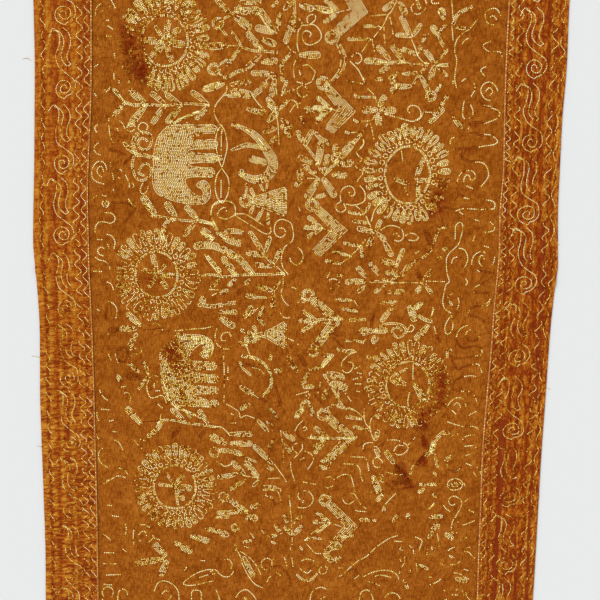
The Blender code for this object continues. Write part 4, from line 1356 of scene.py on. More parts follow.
# %% Border rows
SEAM_ROW = 93.8
SEAM_STITCH = 5.6
Column = namedtuple("Column", "side spirals inset mirror")
COLUMNS = (
    Column("left", (418, 302, 181, 62, -62, -184, -300, -421, -545, 540, 656, -660), 48, 1),
    Column("right", (350, 232, 114, -4, -129, -259, -382, -507, 470, 592, -626), 51, -1),
)
Zigzag = namedtuple("Zigzag", "side inset pitch sway ragged low high tone")
ZIGZAGS = (
    Zigzag("left", 74.0, 23.0, 5.0, 0.5, -662, 662, 0.48),
    Zigzag("left", 86.5, 23.0, 4.6, 0.6, -662, 662, 0.44),
    Zigzag("left", 15.0, 27.0, 3.6, 1.2, -662, 662, 0.32),
    Zigzag("right", 87.0, 15.0, 3.0, 1.4, -662, 662, 0.35),
    Zigzag("right", 73.5, 23.0, 4.4, 1.3, -662, 662, 0.31),
    Zigzag("right", 20.0, 27.0, 4.6, 1.6, -662, 662, 0.33),
    Zigzag("right", 8.0, 36.0, 2.8, 1.4, -662, 662, 0.30),
)


def on_border(side, inset, y):
    """Place on the cloth, in millimetres, at an inset from the border's outer edge."""
    outer, inner = outline_x(f"{side}_edge", y * MM), outline_x(f"{side}_seam", y * MM)
    x = outer + (inner - outer) * inset * MM / BORDER_WIDTH
    return np.column_stack([x / MM, y])


TO_SPIRAL = (
    (-25, 17), (-17, 30), (-8, 22), (-8, 5), (-12, -12), (-8, -28), (5, -40), (17, -48), (20, -62),
    (15, -72), (4, -77),
)
S_MIDDLE = ((-17, 28), (-5, 23), (0, 12), (-3, -5), (-2, -18), (7, -28), (13, -25))
S_INNER = ((0, 32), (10, 22), (12, 8), (7, -8), (8, -18), (13, -25))
SPIRAL_DROP = 63.0


def scroll(inset, y, mirror):
    """Three S-shaped rows and a spiral below them; the outermost row runs on into the spiral."""
    stretch = uneven.uniform(0.94, 1.04)
    coil = curl(0.0, 0.0, uneven.uniform(16.5, 18.5), 1.8, -88.0, -1)[0]
    outer = np.vstack([rounded(TO_SPIRAL)[:-1], coil + [2.0, -SPIRAL_DROP]])
    found = []
    for path in (outer, rounded(S_MIDDLE), rounded(S_INNER)):
        wander = 1.2 * soft_noise(path[:, 1], path[:, 0] + y, 14.0, 11.0, 45)
        across = mirror * (path[:, 0] * stretch + wander)
        found.append((inset + across, y + SPIRAL_DROP + path[:, 1]))
    return found


def zigzag(row):
    """A wavy row along the border; a ragged one is uneven in reach and in pitch."""
    turns = int((row.high - row.low) / row.pitch * 2)
    steps = uneven.uniform(1 - 0.2 * row.ragged, 1 + 0.2 * row.ragged, turns)
    heights = row.low + np.concatenate([[0.0], np.cumsum(steps)]) / steps.sum() * (row.high - row.low)
    reaches = row.sway + uneven.uniform(-1, 1, turns + 1) * row.ragged
    turn = np.linspace(0.0, turns, turns * 6 + 1)
    sway = np.cos(pi * turn) * np.interp(turn, np.arange(turns + 1), reaches)
    height = np.interp(turn, np.arange(turns + 1), heights)
    return row.inset + sway, height


# %% Stitching the borders
UPPER_TONE, LOWER_TONE, SEAM_TONE = 0.54, 0.42, 0.34
FIRST_DIM_SPIRAL = -62

for column in COLUMNS:
    kind = f"border_{column.side}"
    for y in sorted(column.spirals, reverse=True):
        tone = UPPER_TONE if y > FIRST_DIM_SPIRAL else LOWER_TONE
        for inset, height in scroll(column.inset, y, column.mirror):
            seen = np.abs(height) < LAST_ROW
            if seen.sum() > 2:
                path = on_border(column.side, inset[seen], height[seen])
                rows.setdefault(kind, []).append((waver(path), tone))
for side in ("left", "right"):
    for y in np.arange(-LAST_ROW, LAST_ROW, SEAM_STITCH):
        stitch = np.array([y, y + 0.45 * SEAM_STITCH])
        rows[f"border_{side}"].append((on_border(side, np.full(2, SEAM_ROW), stitch), SEAM_TONE))
for row in ZIGZAGS:
    inset, height = zigzag(row)
    rows[f"border_{row.side}"].append((waver(on_border(row.side, inset, height)), row.tone))
print({kind: len(found) for kind, found in rows.items() if kind.startswith("border")})

# %% [markdown]
# Now each row becomes links. A link of chain stitch is a drop: narrow where it comes up through the
# last one, wide where the next begins. Eight small triangles over a hexagon give it that form, which
# is all that can be seen at this size, and tens of thousands of links can still be one joined mesh.

# %% Where the thread lies away from the light
Shade = namedtuple("Shade", "x y rx ry depth")
SHADES = (
    Shade(-270, 352, 24, 50, 0.62),
    Shade(-256, 322, 18, 24, 0.40),
    Shade(-288, 392, 12, 24, 0.36),
    Shade(-294, -2, 16, 30, 0.29),
    Shade(-238, -10, 22, 22, 0.24),
    Shade(-270, -374, 15, 40, 0.31),
    Shade(-240, -435, 34, 14, 0.24),
    Shade(240, 128, 24, 46, 0.46),
    Shade(250, -186, 17, 46, 0.52),
    Shade(226, -232, 20, 20, 0.46),
    Shade(-206, -130, 22, 22, 0.56),
    Shade(-190, -164, 26, 20, 0.34),
    Shade(-178, -204, 18, 24, 0.14),
    Shade(-306, -75, 30, 50, 0.10),
    Shade(-272, -170, 30, 50, 0.10),
    Shade(300, -100, 40, 90, 0.10),
    Shade(40, -122, 26, 16, 0.20),
    Shade(74, -322, 20, 18, 0.20),
    Shade(84, -478, 24, 16, 0.20),
    Shade(-63, 260, 20, 16, 0.08),
    Shade(-190, 264, 24, 18, 0.30),
)


BORDER_FROM, BORDER_TO = 325.0, 340.0
BRIGHT_HEADING, BRIGHT_HEADING_RIGHT = radians(128.0), radians(52.0)


def shine(x, y, heading, tone):
    """How brightly each link lies to the light, from 0 to 1; rows of one heading catch more of it."""
    bright = tone - 0.05 * ramp(-y, -10.0, 60.0)
    for patch in SHADES:
        far = np.hypot((x - patch.x) / patch.rx, (y - patch.y) / patch.ry)
        bright = bright - patch.depth * (1.0 - ramp(far, 0.5, 1.35))
    in_border = ramp(np.abs(x), BORDER_FROM, BORDER_TO)
    in_right = x >= BORDER_FROM
    slant = np.cos(2.0 * (heading - np.where(in_right, BRIGHT_HEADING_RIGHT, BRIGHT_HEADING)))
    low = ramp(-y, -20.0, 20.0) * np.where(in_right, 0.45, 1.0)
    bright = bright + in_border * slant * (0.04 + 0.10 * low) - in_border * 0.07 * low
    bright = bright + (1.0 - in_border) * 0.03 * slant
    specks = 0.42 * soft_noise(x, y, 4.3, 3.7, 52) * (1.0 - 0.6 * in_border)
    return bright + specks + (0.12 + 0.08 * in_border) * soft_noise(x, y, 17.0, 15.0, 51)


# %% Links along the rows
HEADING_REACH = 1.2


def links_along(path, pitch):
    """Middle and heading of each link along a path; each path starts its links a little shifted."""
    steps = np.diff(path, axis=0)
    lengths = np.hypot(steps[:, 0], steps[:, 1])
    run = np.concatenate([[0.0], np.cumsum(lengths)])
    count = max(1, round(run[-1] / pitch))
    shift = run[-1] * 7.13 % 0.6 - 0.3
    at = (np.arange(count) + 0.5 + shift) / count * run[-1]
    back, on = at - HEADING_REACH, at + HEADING_REACH
    forward_x = np.interp(on, run, path[:, 0]) - np.interp(back, run, path[:, 0])
    forward_y = np.interp(on, run, path[:, 1]) - np.interp(back, run, path[:, 1])
    heading = np.arctan2(forward_y, forward_x)
    return np.interp(at, run, path[:, 0]), np.interp(at, run, path[:, 1]), heading


# %% One link
LINK = np.array(
    [
        (-0.50, 0.00, 0.0),
        (-0.10, 0.42, 0.0),
        (0.25, 0.50, 0.0),
        (0.50, 0.00, 0.0),
        (0.25, -0.50, 0.0),
        (-0.10, -0.42, 0.0),
        (-0.12, 0.00, 0.9),
        (0.22, 0.00, 1.0),
    ]
)
LINK_TRIANGLES = np.array(
    [(0, 5, 6), (5, 4, 7), (5, 7, 6), (4, 3, 7), (3, 2, 7), (2, 1, 6), (2, 6, 7), (1, 0, 6)]
)
LINK_BASE = np.arange(6)
LINK_SIDES = [3] * len(LINK_TRIANGLES) + [len(LINK_BASE)]
LINK_UNEVEN = 0.07
SHORTEST_ROW = 1.0

# %% [markdown]
# Metal thread doesn't shine evenly: one link glints and the next one lies brown. A picture of the
# thread would need a place on it for every link. Here each link takes one of six tones instead, painted
# lit and shaded: from how it lies to the light, and from a fixed random number that paints some links
# with a glint and some dull, and a plain material stands behind each tone.

# %% Six thread tones
TONE_STEPS = (0.02, 0.14, 0.27, 0.41, 0.60)
# Painted shade: the two faces at each link's foot are painted darker, as the shade under the loop before
# it.
FOOT_FACES = (0, 7)
FOOT_DARKER = 2
FLICKER = {
    "medallions": ((0.00, 0.12, 0.26, 0.60, 1.00), (-0.54, -0.32, -0.08, 0.03, 0.20)),
    "figures": ((0.00, 0.16, 0.32, 0.60, 1.00), (-0.50, -0.34, -0.12, 0.08, 0.30)),
    "leaves": ((0.00, 0.16, 0.32, 0.60, 1.00), (-0.52, -0.34, -0.10, 0.08, 0.30)),
    "rows": ((0.00, 0.12, 0.30, 1.00), (-0.30, -0.16, 0.00, 0.14)),
}


def link_tones(family, x, y, heading, tone, seed):
    """Which of the six thread tones each face of each link takes; the foot of a link is painted darker, as
    shade under the loop before it.
    """
    chance = np.random.default_rng(seed).uniform(0.0, 1.0, len(x))
    flicker = np.interp(chance, *FLICKER.get(family, FLICKER["rows"]))
    palette = np.searchsorted(TONE_STEPS, shine(x, y, heading, tone) + flicker)
    tones = np.repeat(palette[:, None], len(LINK_SIDES), axis=1)
    tones[:, FOOT_FACES] = np.maximum(tones[:, FOOT_FACES] - FOOT_DARKER, 0)
    return tones.ravel()


# %% Places and points of the links
def link_places(found, pitch):
    """Place, heading and tone of every link along some rows."""
    parts = []
    for path, bright in found:
        if np.hypot(*np.diff(path, axis=0).T).sum() >= SHORTEST_ROW:
            x, y, heading = links_along(path, pitch)
            parts.append((x, y, heading, np.full(len(x), bright)))
    return [np.concatenate(column) for column in zip(*parts)]


def link_points(x, y, heading, stitch, seed):
    """Eight points for each link, laid on the cloth's upper face."""
    size = 1.0 + LINK_UNEVEN * np.random.default_rng(seed).normal(0.0, 1.0, (len(x), 2))
    forward, sideways = LINK[:, 0] * stitch.length * MM, LINK[:, 1] * stitch.width * MM
    along, across = size[:, :1] * forward, size[:, 1:] * sideways
    c, s = np.cos(heading)[:, None], np.sin(heading)[:, None]
    px = x[:, None] * MM + along * c - across * s
    py = y[:, None] * MM + along * s + across * c
    base = cloth_top(px[:, 6], py[:, 6])[:, None]
    lift = LINK[:, 2] * LINK_HEIGHT * MM - LINK_SUNK * MM * (LINK[:, 2] == 0)
    return np.stack([px, py, 0.5 * (cloth_top(px, py) + base) + lift], axis=-1).reshape(-1, 3)


# %% Links as one mesh
def chain_mesh(kind, found, seed):
    """All the links of some rows as one mesh, with a thread tone for each face."""
    family = kind.split("_")[0]
    stitch = {"border": BORDER_STITCH, "scrolls": OPEN_STITCH}.get(family, CLOSE_STITCH)
    x, y, heading, tone = link_places(found, stitch.pitch)
    points = link_points(x, y, heading, stitch, seed + 1)
    one_link = np.concatenate([LINK_TRIANGLES.ravel(), LINK_BASE])
    corners = one_link + len(LINK) * np.arange(len(x))[:, None]
    sides = np.tile(LINK_SIDES, len(x))
    mesh = bpy.data.meshes.new(f"thread_{kind}")
    mesh.vertices.add(len(points))
    mesh.vertices.foreach_set("co", points.ravel())
    mesh.loops.add(corners.size)
    mesh.loops.foreach_set("vertex_index", corners.ravel())
    mesh.polygons.add(len(sides))
    mesh.polygons.foreach_set("loop_start", np.concatenate([[0], np.cumsum(sides)[:-1]]))
    mesh.polygons.foreach_set("use_smooth", np.ones(len(sides), dtype=bool))
    mesh.update(calc_edges=True)
    mesh.polygons.foreach_set("material_index", link_tones(family, x, y, heading, tone, seed))
    return mesh, len(x)


# %% Stitched pieces
threads = {}
total = 0
for seed, (kind, found) in enumerate(sorted(rows.items())):
    mesh, count = chain_mesh(kind, found, 100 + 2 * seed)
    threads[kind] = add_piece(f"thread_{kind}", mesh)
    total += count
    print(kind, "links", count, "triangles", 12 * count)
print("links in all", total)

# %% [markdown]
# Here and there a thread has worked loose from the hem and lies on the ground beside the cloth. It is
# thin, so three sides and a few rings of points are enough, and it sinks as it leaves the hem.

# %% Stray threads at the outer edges
STRAYS = (
    (-432, 345, -446, 348),
    (-426, -305, -439, -309),
    (-428, -147, -444, -149),
    (418, 367, 430, 365),
    (426, 61, 438, 63),
    (422, -183, 438, -185),
)
STRAY_THICK = 0.3
STRAY_RINGS = 7


def stray_mesh():
    """A few loose ends of silk that stick out from the hem, each a thin three-sided thread."""
    points, faces = [], []
    for x1, y1, x2, y2 in STRAYS:
        first, last = len(points), len(points) + 3 * (STRAY_RINGS - 1)
        start_z = float(cloth_top(np.array(x1 * MM), np.array(y1 * MM))) / MM
        for share in np.linspace(0.0, 1.0, STRAY_RINGS):
            x, y = x1 + (x2 - x1) * share, y1 + (y2 - y1) * share + 1.5 * sin(5.0 * share + y1)
            z = start_z * (1.0 - share) ** 2
            points += [(x, y - STRAY_THICK, z), (x, y + STRAY_THICK, z), (x, y, z + STRAY_THICK)]
        for ring in range(first, last, 3):
            for k, after in ((0, 1), (1, 2), (2, 0)):
                faces.append((ring + k, ring + after, ring + 3 + after, ring + 3 + k))
        faces += [(first, first + 2, first + 1), (last, last + 1, last + 2)]
    mesh = bpy.data.meshes.new("stray_threads")
    mesh.from_pydata((np.array(points) * MM).tolist(), [], faces)
    return mesh


strays = add_piece("stray_threads", stray_mesh())
print(strays.name, "threads", len(STRAYS), "faces", len(strays.data.polygons))

# %% [markdown]
# The finishes are made of nodes. Each small helper below stands for one node and returns its output, so
# that a finish can be read like a sum.

# %% Small helpers for node graphs
def new_material(name):
    """A material with one shader, and its node tree."""
    material = bpy.data.materials.new(name)
    material.use_nodes = True
    return material, material.node_tree, material.node_tree.nodes["Principled BSDF"]


def add_node(tree, kind, settings=None, **inputs):
    """Adds a node; inputs are given by their names, with spaces written as underscores."""
    node = tree.nodes.new(kind)
    for name, value in (settings or {}).items():
        setattr(node, name, value)
    for name, value in inputs.items():
        socket = node.inputs[int(name[1:])] if name[0] == "_" else node.inputs[name.replace("_", " ")]
        if isinstance(value, bpy.types.NodeSocket):
            tree.links.new(value, socket)
        else:
            socket.default_value = value
    return node


def streaks(tree, place, stretch, detail=2.0):
    """Noise from 0 to 1, with its features this many to the metre across and along the cloth."""
    scaled = add_node(tree, "ShaderNodeVectorMath", {"operation": "MULTIPLY"}, _0=place, _1=stretch)
    noise = add_node(tree, "ShaderNodeTexNoise", Vector=scaled.outputs[0], Scale=1.0, Detail=detail)
    noise.inputs["Roughness"].default_value = 0.55
    return noise.outputs[0]


def ramp_node(tree, value, *stops):
    """A colour ramp through (position, colour) stops."""
    node = add_node(tree, "ShaderNodeValToRGB", Fac=value)
    elements = node.color_ramp.elements
    while len(elements) < len(stops):
        elements.new(0.5)
    for element, (position, colour) in zip(elements, stops):
        element.position = position
        element.color = (*colour, 1.0)
    return node.outputs[0]


def maths(tree, operation, first, second=0.0, third=0.0):
    """One sum on values or sockets."""
    node = add_node(tree, "ShaderNodeMath", {"operation": operation}, _0=first, _1=second, _2=third)
    return node.outputs[0]


# %% Masks and mixes
def fade(tree, value, start, end):
    """A mask that falls from 1 at start to 0 at end."""
    return ramp_node(tree, value, (start, (1, 1, 1)), (end, (0, 0, 0)))


def blend(tree, share, first, second):
    """A value between two values."""
    return add_node(tree, "ShaderNodeMix", {"data_type": "FLOAT"}, _0=share, _2=first, _3=second).outputs[0]


def tinted(tree, share, base, colour):
    """A colour on its way from a base colour to another."""
    other = (*colour, 1.0)
    return add_node(tree, "ShaderNodeMix", {"data_type": "RGBA"}, _0=share, _6=base, _7=other).outputs[2]


def stored(tree, name):
    """The number that each point of the sheet stores under this name."""
    return add_node(tree, "ShaderNodeAttribute", {"attribute_name": name}).outputs["Fac"]


# %% Node groups and shine
def node_group(name, inputs, outputs):
    """A new node group, its input sockets from within, and its output sockets from within."""
    group = bpy.data.node_groups.new(name, "ShaderNodeTree")
    for way, sockets in (("INPUT", inputs), ("OUTPUT", outputs)):
        for label, kind in sockets.items():
            group.interface.new_socket(label, in_out=way, socket_type=f"NodeSocket{kind}")
    return group, add_node(group, "NodeGroupInput").outputs, add_node(group, "NodeGroupOutput").inputs


def set_shine(shader, roughness, specular, tint):
    """How rough a surface is, and how strong and of what colour its highlights are."""
    shader.inputs["Roughness"].default_value = roughness
    shader.inputs["Specular IOR Level"].default_value = specular
    shader.inputs["Specular Tint"].default_value = (*tint, 1.0)


# %% [markdown]
# Raw silk has slubs, thick places in the yarn that catch the light as short streaks along and across the
# cloth. Each set of yarns is a noise drawn out one way. Both silks share that weave, so it is a node
# group that is built once. It puts out the grain for the colour and the height for the bump.

# %% The weave that both silks share
VALUE, VECTOR = "Float", "Vector"
weave, weave_in, weave_out = node_group(
    "silk_weave", {"Place": VECTOR, "Warp": VALUE, "Weft": VALUE}, {"Grain": VALUE, "Height": VALUE}
)
place = weave_in["Place"]
warp = streaks(weave, place, (720.0, 95.0, 1.0))
weft = streaks(weave, place, (110.0, 640.0, 1.0))
fine = streaks(weave, place, (1300.0, 1300.0, 1.0), 1.0)
broad = streaks(weave, place, (9.0, 8.0, 1.0), 3.0)
puckered = streaks(weave, place, (62.0, 48.0, 1.0))
grain = -0.12
for part, amount in ((warp, weave_in["Warp"]), (weft, weave_in["Weft"]), (fine, 0.20), (broad, 0.14)):
    grain = maths(weave, "MULTIPLY_ADD", part, amount, grain)
grain = maths(weave, "MULTIPLY_ADD", puckered, 0.20, grain)
weave.links.new(grain, weave_out["Grain"])
height = maths(weave, "MULTIPLY", maths(weave, "ADD", warp, weft), 0.5)
weave.links.new(height, weave_out["Height"])
print(weave.name, "nodes", len(weave.nodes))

# %% [markdown]
# Silk that was folded away keeps fine creases. A crease is a line, and the line where a drawn-out noise
# passes its middle value is thin and wanders as a crease does. One such line is a node group too, and a
# cloth lays a few of them over each other, each with its own lean and stretch. Both silks darken their
# colour along these lines, as painted shade in the creases, and the border's bump follows them too.

# %% Fine creases
crease, crease_in, crease_out = node_group(
    "crease_line", {"Place": VECTOR, "Lean": VALUE, "Stretch": VECTOR, "Thin": VALUE}, {"Crease": VALUE}
)
turned = add_node(
    crease,
    "ShaderNodeVectorRotate",
    {"rotation_type": "Z_AXIS"},
    Vector=crease_in["Place"],
    Angle=crease_in["Lean"],
)
bent = streaks(crease, turned.outputs[0], crease_in["Stretch"])
off_middle = maths(crease, "ABSOLUTE", maths(crease, "SUBTRACT", bent, 0.5))
line = add_node(
    crease, "ShaderNodeMapRange", Value=off_middle, _1=0.0, _2=crease_in["Thin"], _3=1.0, _4=0.0
)
crease.links.new(line.outputs[0], crease_out["Crease"])
Wrinkle = namedtuple("Wrinkle", "lean stretch_x stretch_y depth")
print(crease.name, "nodes", len(crease.nodes))


def wrinkle_lines(tree, place, wrinkles, thin):
    """Several crease lines, one over the other."""
    total = 0.0
    for row in wrinkles:
        node = add_node(tree, "ShaderNodeGroup", {"node_tree": crease}, Place=place, Thin=thin)
        node.inputs["Lean"].default_value = radians(row.lean)
        node.inputs["Stretch"].default_value = (row.stretch_x, row.stretch_y, 1.0)
        total = maths(tree, "MULTIPLY_ADD", node.outputs["Crease"], row.depth, total)
    return total


# %% [markdown]
# The panel is plain silk of copper-orange yarn. Its grain picks a colour between a brown, a copper and
# an ochre, which looks more like cloth than one colour with bumps. Its crease lines are darkened a little
# as painted shade, and the darker red-brown patches come last.

# %% Panel silk
PANEL_WRINKLES = (
    Wrinkle(20.0, 62.0, 17.0, 1.0),
    Wrinkle(-35.0, 48.0, 20.0, 0.8),
    Wrinkle(80.0, 55.0, 16.0, 0.7),
)
COPPER_SILK = ((0.37, (0.135, 0.028, 0.001)), (0.50, (0.230, 0.061, 0.004)), (0.63, (0.350, 0.125, 0.015)))
RED_BROWN_PATCH = (0.125, 0.005, 0.001)

panel_silk, tree, shader = new_material("panel_silk")
place = add_node(tree, "ShaderNodeTexCoord").outputs["Object"]
cloth = add_node(tree, "ShaderNodeGroup", {"node_tree": weave}, Place=place, Warp=0.46, Weft=0.24)
creased = wrinkle_lines(tree, place, PANEL_WRINKLES, 0.02)
# Painted shade: the colour darkens a little along the crease lines.
colour = ramp_node(tree, maths(tree, "MULTIPLY_ADD", creased, -0.085, cloth.outputs["Grain"]), *COPPER_SILK)
patchy = streaks(tree, place, (260.0, 210.0, 1.0), 3.0)
patchy = ramp_node(tree, patchy, (0.38, (0.3, 0.3, 0.3)), (0.56, (1, 1, 1)))
colour = tinted(tree, maths(tree, "MULTIPLY", stored(tree, "darkening_and_fold_shade"), patchy), colour, RED_BROWN_PATCH)
tree.links.new(colour, shader.inputs["Base Color"])
bump = add_node(tree, "ShaderNodeBump", Height=cloth.outputs["Height"], Distance=0.0004, Strength=0.5)
tree.links.new(bump.outputs[0], shader.inputs["Normal"])
set_shine(shader, roughness=0.58, specular=0.15, tint=(1.0, 0.45, 0.10))
panel_cloth.data.materials.append(panel_silk)
print(panel_silk.name, "nodes", len(tree.nodes))

# %% [markdown]
# The border silk is shot: its warp is maroon and its weft is ochre, so what faces the light looks golden
# and the troughs look dark. Here that is painted into the colour, which is again picked by one level, and
# everything that darkens or lights the silk adds to it: painted light on the puckers' crests, on the slopes
# that face the lamp and on the ridge tops; painted shade in the creases and in the long folds of the right
# border, which is darker all over; and the lighter hem. The left border is creased across, more so in its
# lower half, and the right one lengthwise.

# %% Shot silk of the borders: what lights and darkens it
LONG_WRINKLES = (
    Wrinkle(8.0, 150.0, 30.0, 1.0),
    Wrinkle(-28.0, 115.0, 36.0, 0.9),
    Wrinkle(38.0, 120.0, 40.0, 0.7),
    Wrinkle(88.0, 110.0, 24.0, 0.5),
)
CROSS_WRINKLES = (
    Wrinkle(86.0, 130.0, 20.0, 1.0),
    Wrinkle(70.0, 115.0, 24.0, 0.9),
    Wrinkle(104.0, 120.0, 26.0, 0.8),
    Wrinkle(30.0, 110.0, 40.0, 0.4),
)
WRINKLE_THIN = 0.05

border_silk, tree, shader = new_material("border_silk")
place = add_node(tree, "ShaderNodeTexCoord").outputs["Object"]
cloth = add_node(tree, "ShaderNodeGroup", {"node_tree": weave}, Place=place, Warp=0.46, Weft=0.24)
darkening_and_fold_shade = stored(tree, "darkening_and_fold_shade")
across_cloth, up_cloth, _ = add_node(tree, "ShaderNodeSeparateXYZ", Vector=place).outputs
in_left = maths(tree, "LESS_THAN", across_cloth, 0.0)
lower = add_node(tree, "ShaderNodeMapRange", Value=up_cloth, _1=0.10, _2=-0.15, _3=0.45, _4=1.0).outputs[0]
crosswise = maths(tree, "MULTIPLY", in_left, lower)
lengthwise_mottle = streaks(tree, place, (200.0, 48.0, 1.0), 3.0)
mottle = blend(tree, crosswise, lengthwise_mottle, streaks(tree, place, (55.0, 210.0, 1.0), 3.0))
# Painted shade: the crease lines darken the silk's colour, and dent its bump too.
lengthwise_lines = wrinkle_lines(tree, place, LONG_WRINKLES, WRINKLE_THIN)
crosswise_lines = wrinkle_lines(tree, place, CROSS_WRINKLES, WRINKLE_THIN)
wrinkles = blend(tree, crosswise, lengthwise_lines, crosswise_lines)
# Painted shade: long dark streaks along the right border's folds, where its darkening is stored.
long_fold_shade = fade(tree, streaks(tree, place, (170.0, 10.0, 1.0)), 0.36, 0.46)
# The lit crests and ridge tops add painted light here, and the crease lines, the right border's darkening
# and its fold shade take painted shade off; mottle, grain and the hem are the silk's own.
level_parts = (
    (maths(tree, "SUBTRACT", mottle, 0.5), 1.0),
    (maths(tree, "SUBTRACT", cloth.outputs["Grain"], 0.5), 0.9),
    (stored(tree, "lit_crest"), 0.14),
    (stored(tree, "ridge"), 0.06),
    (darkening_and_fold_shade, -0.18),
    (fade(tree, stored(tree, "inset"), 0.060, 0.115), 0.16),
    (wrinkles, -0.34),
    (maths(tree, "MULTIPLY", long_fold_shade, darkening_and_fold_shade), -0.40),
)
level = 0.575
for part, amount in level_parts:
    level = maths(tree, "MULTIPLY_ADD", part, amount, level)
print(border_silk.name, "parts of its level", len(level_parts))

# %% Shot silk of the borders: its colours
SHOT_SILK = (
    (0.00, (0.135, 0.014, 0.001)),
    (0.32, (0.235, 0.043, 0.002)),
    (0.60, (0.350, 0.118, 0.008)),
    (0.90, (0.480, 0.225, 0.026)),
)
FOLD_SHADE_MAROON = (0.175, 0.020, 0.004)
TURNED_EDGE = (0.40, 0.165, 0.055)

silk = ramp_node(tree, level, *SHOT_SILK)
# Painted shade: the troughs of the right border's long folds are tinted maroon, broken along their length.
broken = streaks(tree, place, (290.0, 12.0, 1.0))
broken = ramp_node(tree, broken, (0.42, (1, 1, 1)), (0.56, (0.40, 0.40, 0.40)))
fold_trough_shade = maths(tree, "MULTIPLY", maths(tree, "MULTIPLY", darkening_and_fold_shade, 0.5), broken)
maroon_shade = ramp_node(tree, fold_trough_shade, (0.34, (0, 0, 0)), (0.80, (0.90, 0.90, 0.90)))
at_turn = ramp_node(tree, stored(tree, "inset"), (0.974, (0, 0, 0)), (0.984, (1, 1, 1)))
colour = tinted(tree, at_turn, tinted(tree, maroon_shade, silk, FOLD_SHADE_MAROON), TURNED_EDGE)
tree.links.new(colour, shader.inputs["Base Color"])
relief = maths(tree, "MULTIPLY_ADD", wrinkles, -0.8, maths(tree, "ADD", mottle, cloth.outputs["Height"]))
bump = add_node(tree, "ShaderNodeBump", Height=relief, Distance=0.0008, Strength=0.6)
tree.links.new(bump.outputs[0], shader.inputs["Normal"])
set_shine(shader, roughness=0.50, specular=0.20, tint=(1.0, 0.50, 0.12))
for piece in border_cloths.values():
    piece.data.materials.append(border_silk)
print(border_silk.name, "nodes", len(tree.nodes))

# %% [markdown]
# The thread is silk wound with a thin gilt strip. Its six tones are lit and shaded copies of one gold:
# pale and bright are painted highlights where a link catches the light, gold and dull lie between, and
# brown and crimson are painted shade where it turns from the light. Each face of a link already holds the
# number of its tone, so six plain materials do the rest, and no picture of the thread is needed.

# %% Gold thread in six tones
Thread = namedtuple("Thread", "name colour metal rough gloss")
# Lit and shaded copies of one gold thread: pale and bright are painted highlights, brown and crimson are
# painted shade.
THREADS = (
    Thread("thread_crimson", (0.100, 0.004, 0.001), 0.0, 0.60, 0.02),
    Thread("thread_brown", (0.225, 0.060, 0.004), 0.1, 0.45, 0.08),
    Thread("thread_dull", (0.425, 0.275, 0.018), 0.15, 0.40, 0.15),
    Thread("thread_gold", (0.735, 0.560, 0.082), 0.12, 0.38, 0.22),
    Thread("thread_bright", (1.000, 0.910, 0.270), 0.12, 0.36, 0.25),
    Thread("thread_pale", (1.000, 1.000, 0.560), 0.05, 0.34, 0.30),
)
thread_finish = {}
for row in THREADS:
    material, tree, shader = new_material(row.name)
    shader.inputs["Base Color"].default_value = (*row.colour, 1.0)
    shader.inputs["Metallic"].default_value = row.metal
    set_shine(shader, roughness=row.rough, specular=row.gloss, tint=(1.0, 0.86, 0.40))
    thread_finish[row.name] = material
for piece in threads.values():
    for material in thread_finish.values():
        piece.data.materials.append(material)
strays.data.materials.append(thread_finish["thread_dull"])
print("thread tones", len(thread_finish), "on", len(threads), "pieces")

# %% [markdown]
# The cloth was photographed from above on a pale ground, with broad soft light and hardly a shadow.
# A bright even sky gives most of the light, and one large lamp from the upper left shapes the puckers.

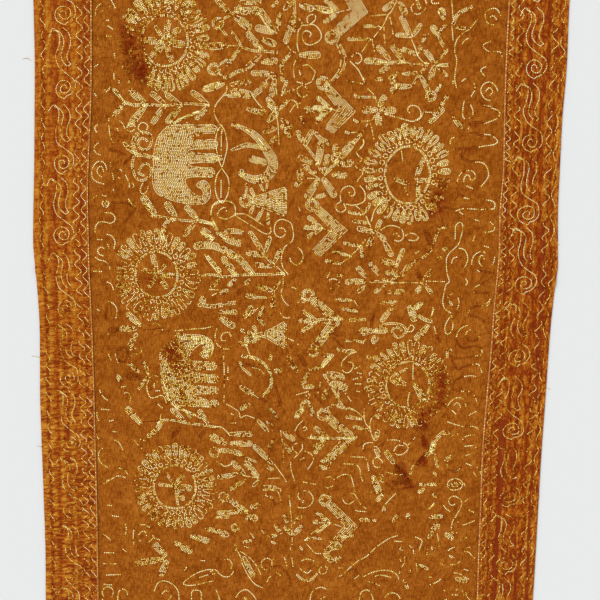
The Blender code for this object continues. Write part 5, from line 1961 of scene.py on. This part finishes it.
# %% Ground
GROUND_REACH = 6
GROUND_DEPTH = -0.0004
ground_mesh = bpy.data.meshes.new("ground")
ways = ((-1, -1), (1, -1), (1, 1), (-1, 1))
corners = [(GROUND_REACH * across, GROUND_REACH * along, GROUND_DEPTH) for across, along in ways]
ground_mesh.from_pydata(corners, [], [(0, 1, 2, 3)])
ground = bpy.data.objects.new("ground", ground_mesh)
bpy.context.scene.collection.objects.link(ground)
ground_finish, tree, shader = new_material("ground_paper")
shader.inputs["Base Color"].default_value = (0.55, 0.557, 0.557, 1.0)
shader.inputs["Roughness"].default_value = 0.9
shader.inputs["Specular IOR Level"].default_value = 0.1
ground_mesh.materials.append(ground_finish)
print(ground.name, "reaches", GROUND_REACH, "each way")

# %% Light
LAMP_FROM = Vector((-1.0, 1.3, 2.15))
world = bpy.data.worlds.new("soft_studio")
bpy.context.scene.world = world
world.use_nodes = True
sky = world.node_tree.nodes["Background"]
sky.inputs["Color"].default_value = (1.0, 1.0, 1.0, 1.0)
sky.inputs["Strength"].default_value = 0.84

lamp_data = bpy.data.lights.new("key_light", "SUN")
lamp_data.energy = 2.55
lamp_data.angle = radians(36.0)
lamp = bpy.data.objects.new("key_light", lamp_data)
lamp.location = LAMP_FROM
lamp.rotation_mode = "QUATERNION"
lamp.rotation_quaternion = (-LAMP_FROM).to_track_quat("-Z", "Y")
bpy.context.scene.collection.objects.link(lamp)
print(lamp.name, "strength", lamp_data.energy, "from", tuple(LAMP_FROM))

# %% [markdown]
# The cloth's side edges draw together towards the bottom of the photograph, so the camera stood over the
# upper half of it, a little tilted and a little rolled. It is placed so that the outer edges, the seams
# and the cross fold lie in the picture where the photograph has them.

# %% Camera
TILT, ROLL = radians(12.0989), radians(1.27307)
AWAY = 2.011144
AIM = Vector((0.0087, -0.040, 0.0))
down = Vector((0.0, -sin(TILT), -cos(TILT)))
up = Vector((0.0, cos(TILT), -sin(TILT)))
right = Vector((1.0, 0.0, 0.0))
camera_x = right * cos(ROLL) + up * sin(ROLL)
camera_y = -right * sin(ROLL) + up * cos(ROLL)
turn = Matrix((camera_x, camera_y, -down)).transposed()
camera_data = bpy.data.cameras.new("photo_camera")
camera_data.lens, camera_data.sensor_width = 72.0, 36.0
camera = bpy.data.objects.new("photo_camera", camera_data)
camera.matrix_world = Matrix.Translation(AIM - down * AWAY) @ turn.to_4x4()
bpy.context.scene.collection.objects.link(camera)
bpy.context.scene.camera = camera
bpy.context.scene.view_settings.view_transform = "Standard"
bpy.context.scene.view_settings.look = "None"
print(camera.name, "lens", camera_data.lens, "away", AWAY)
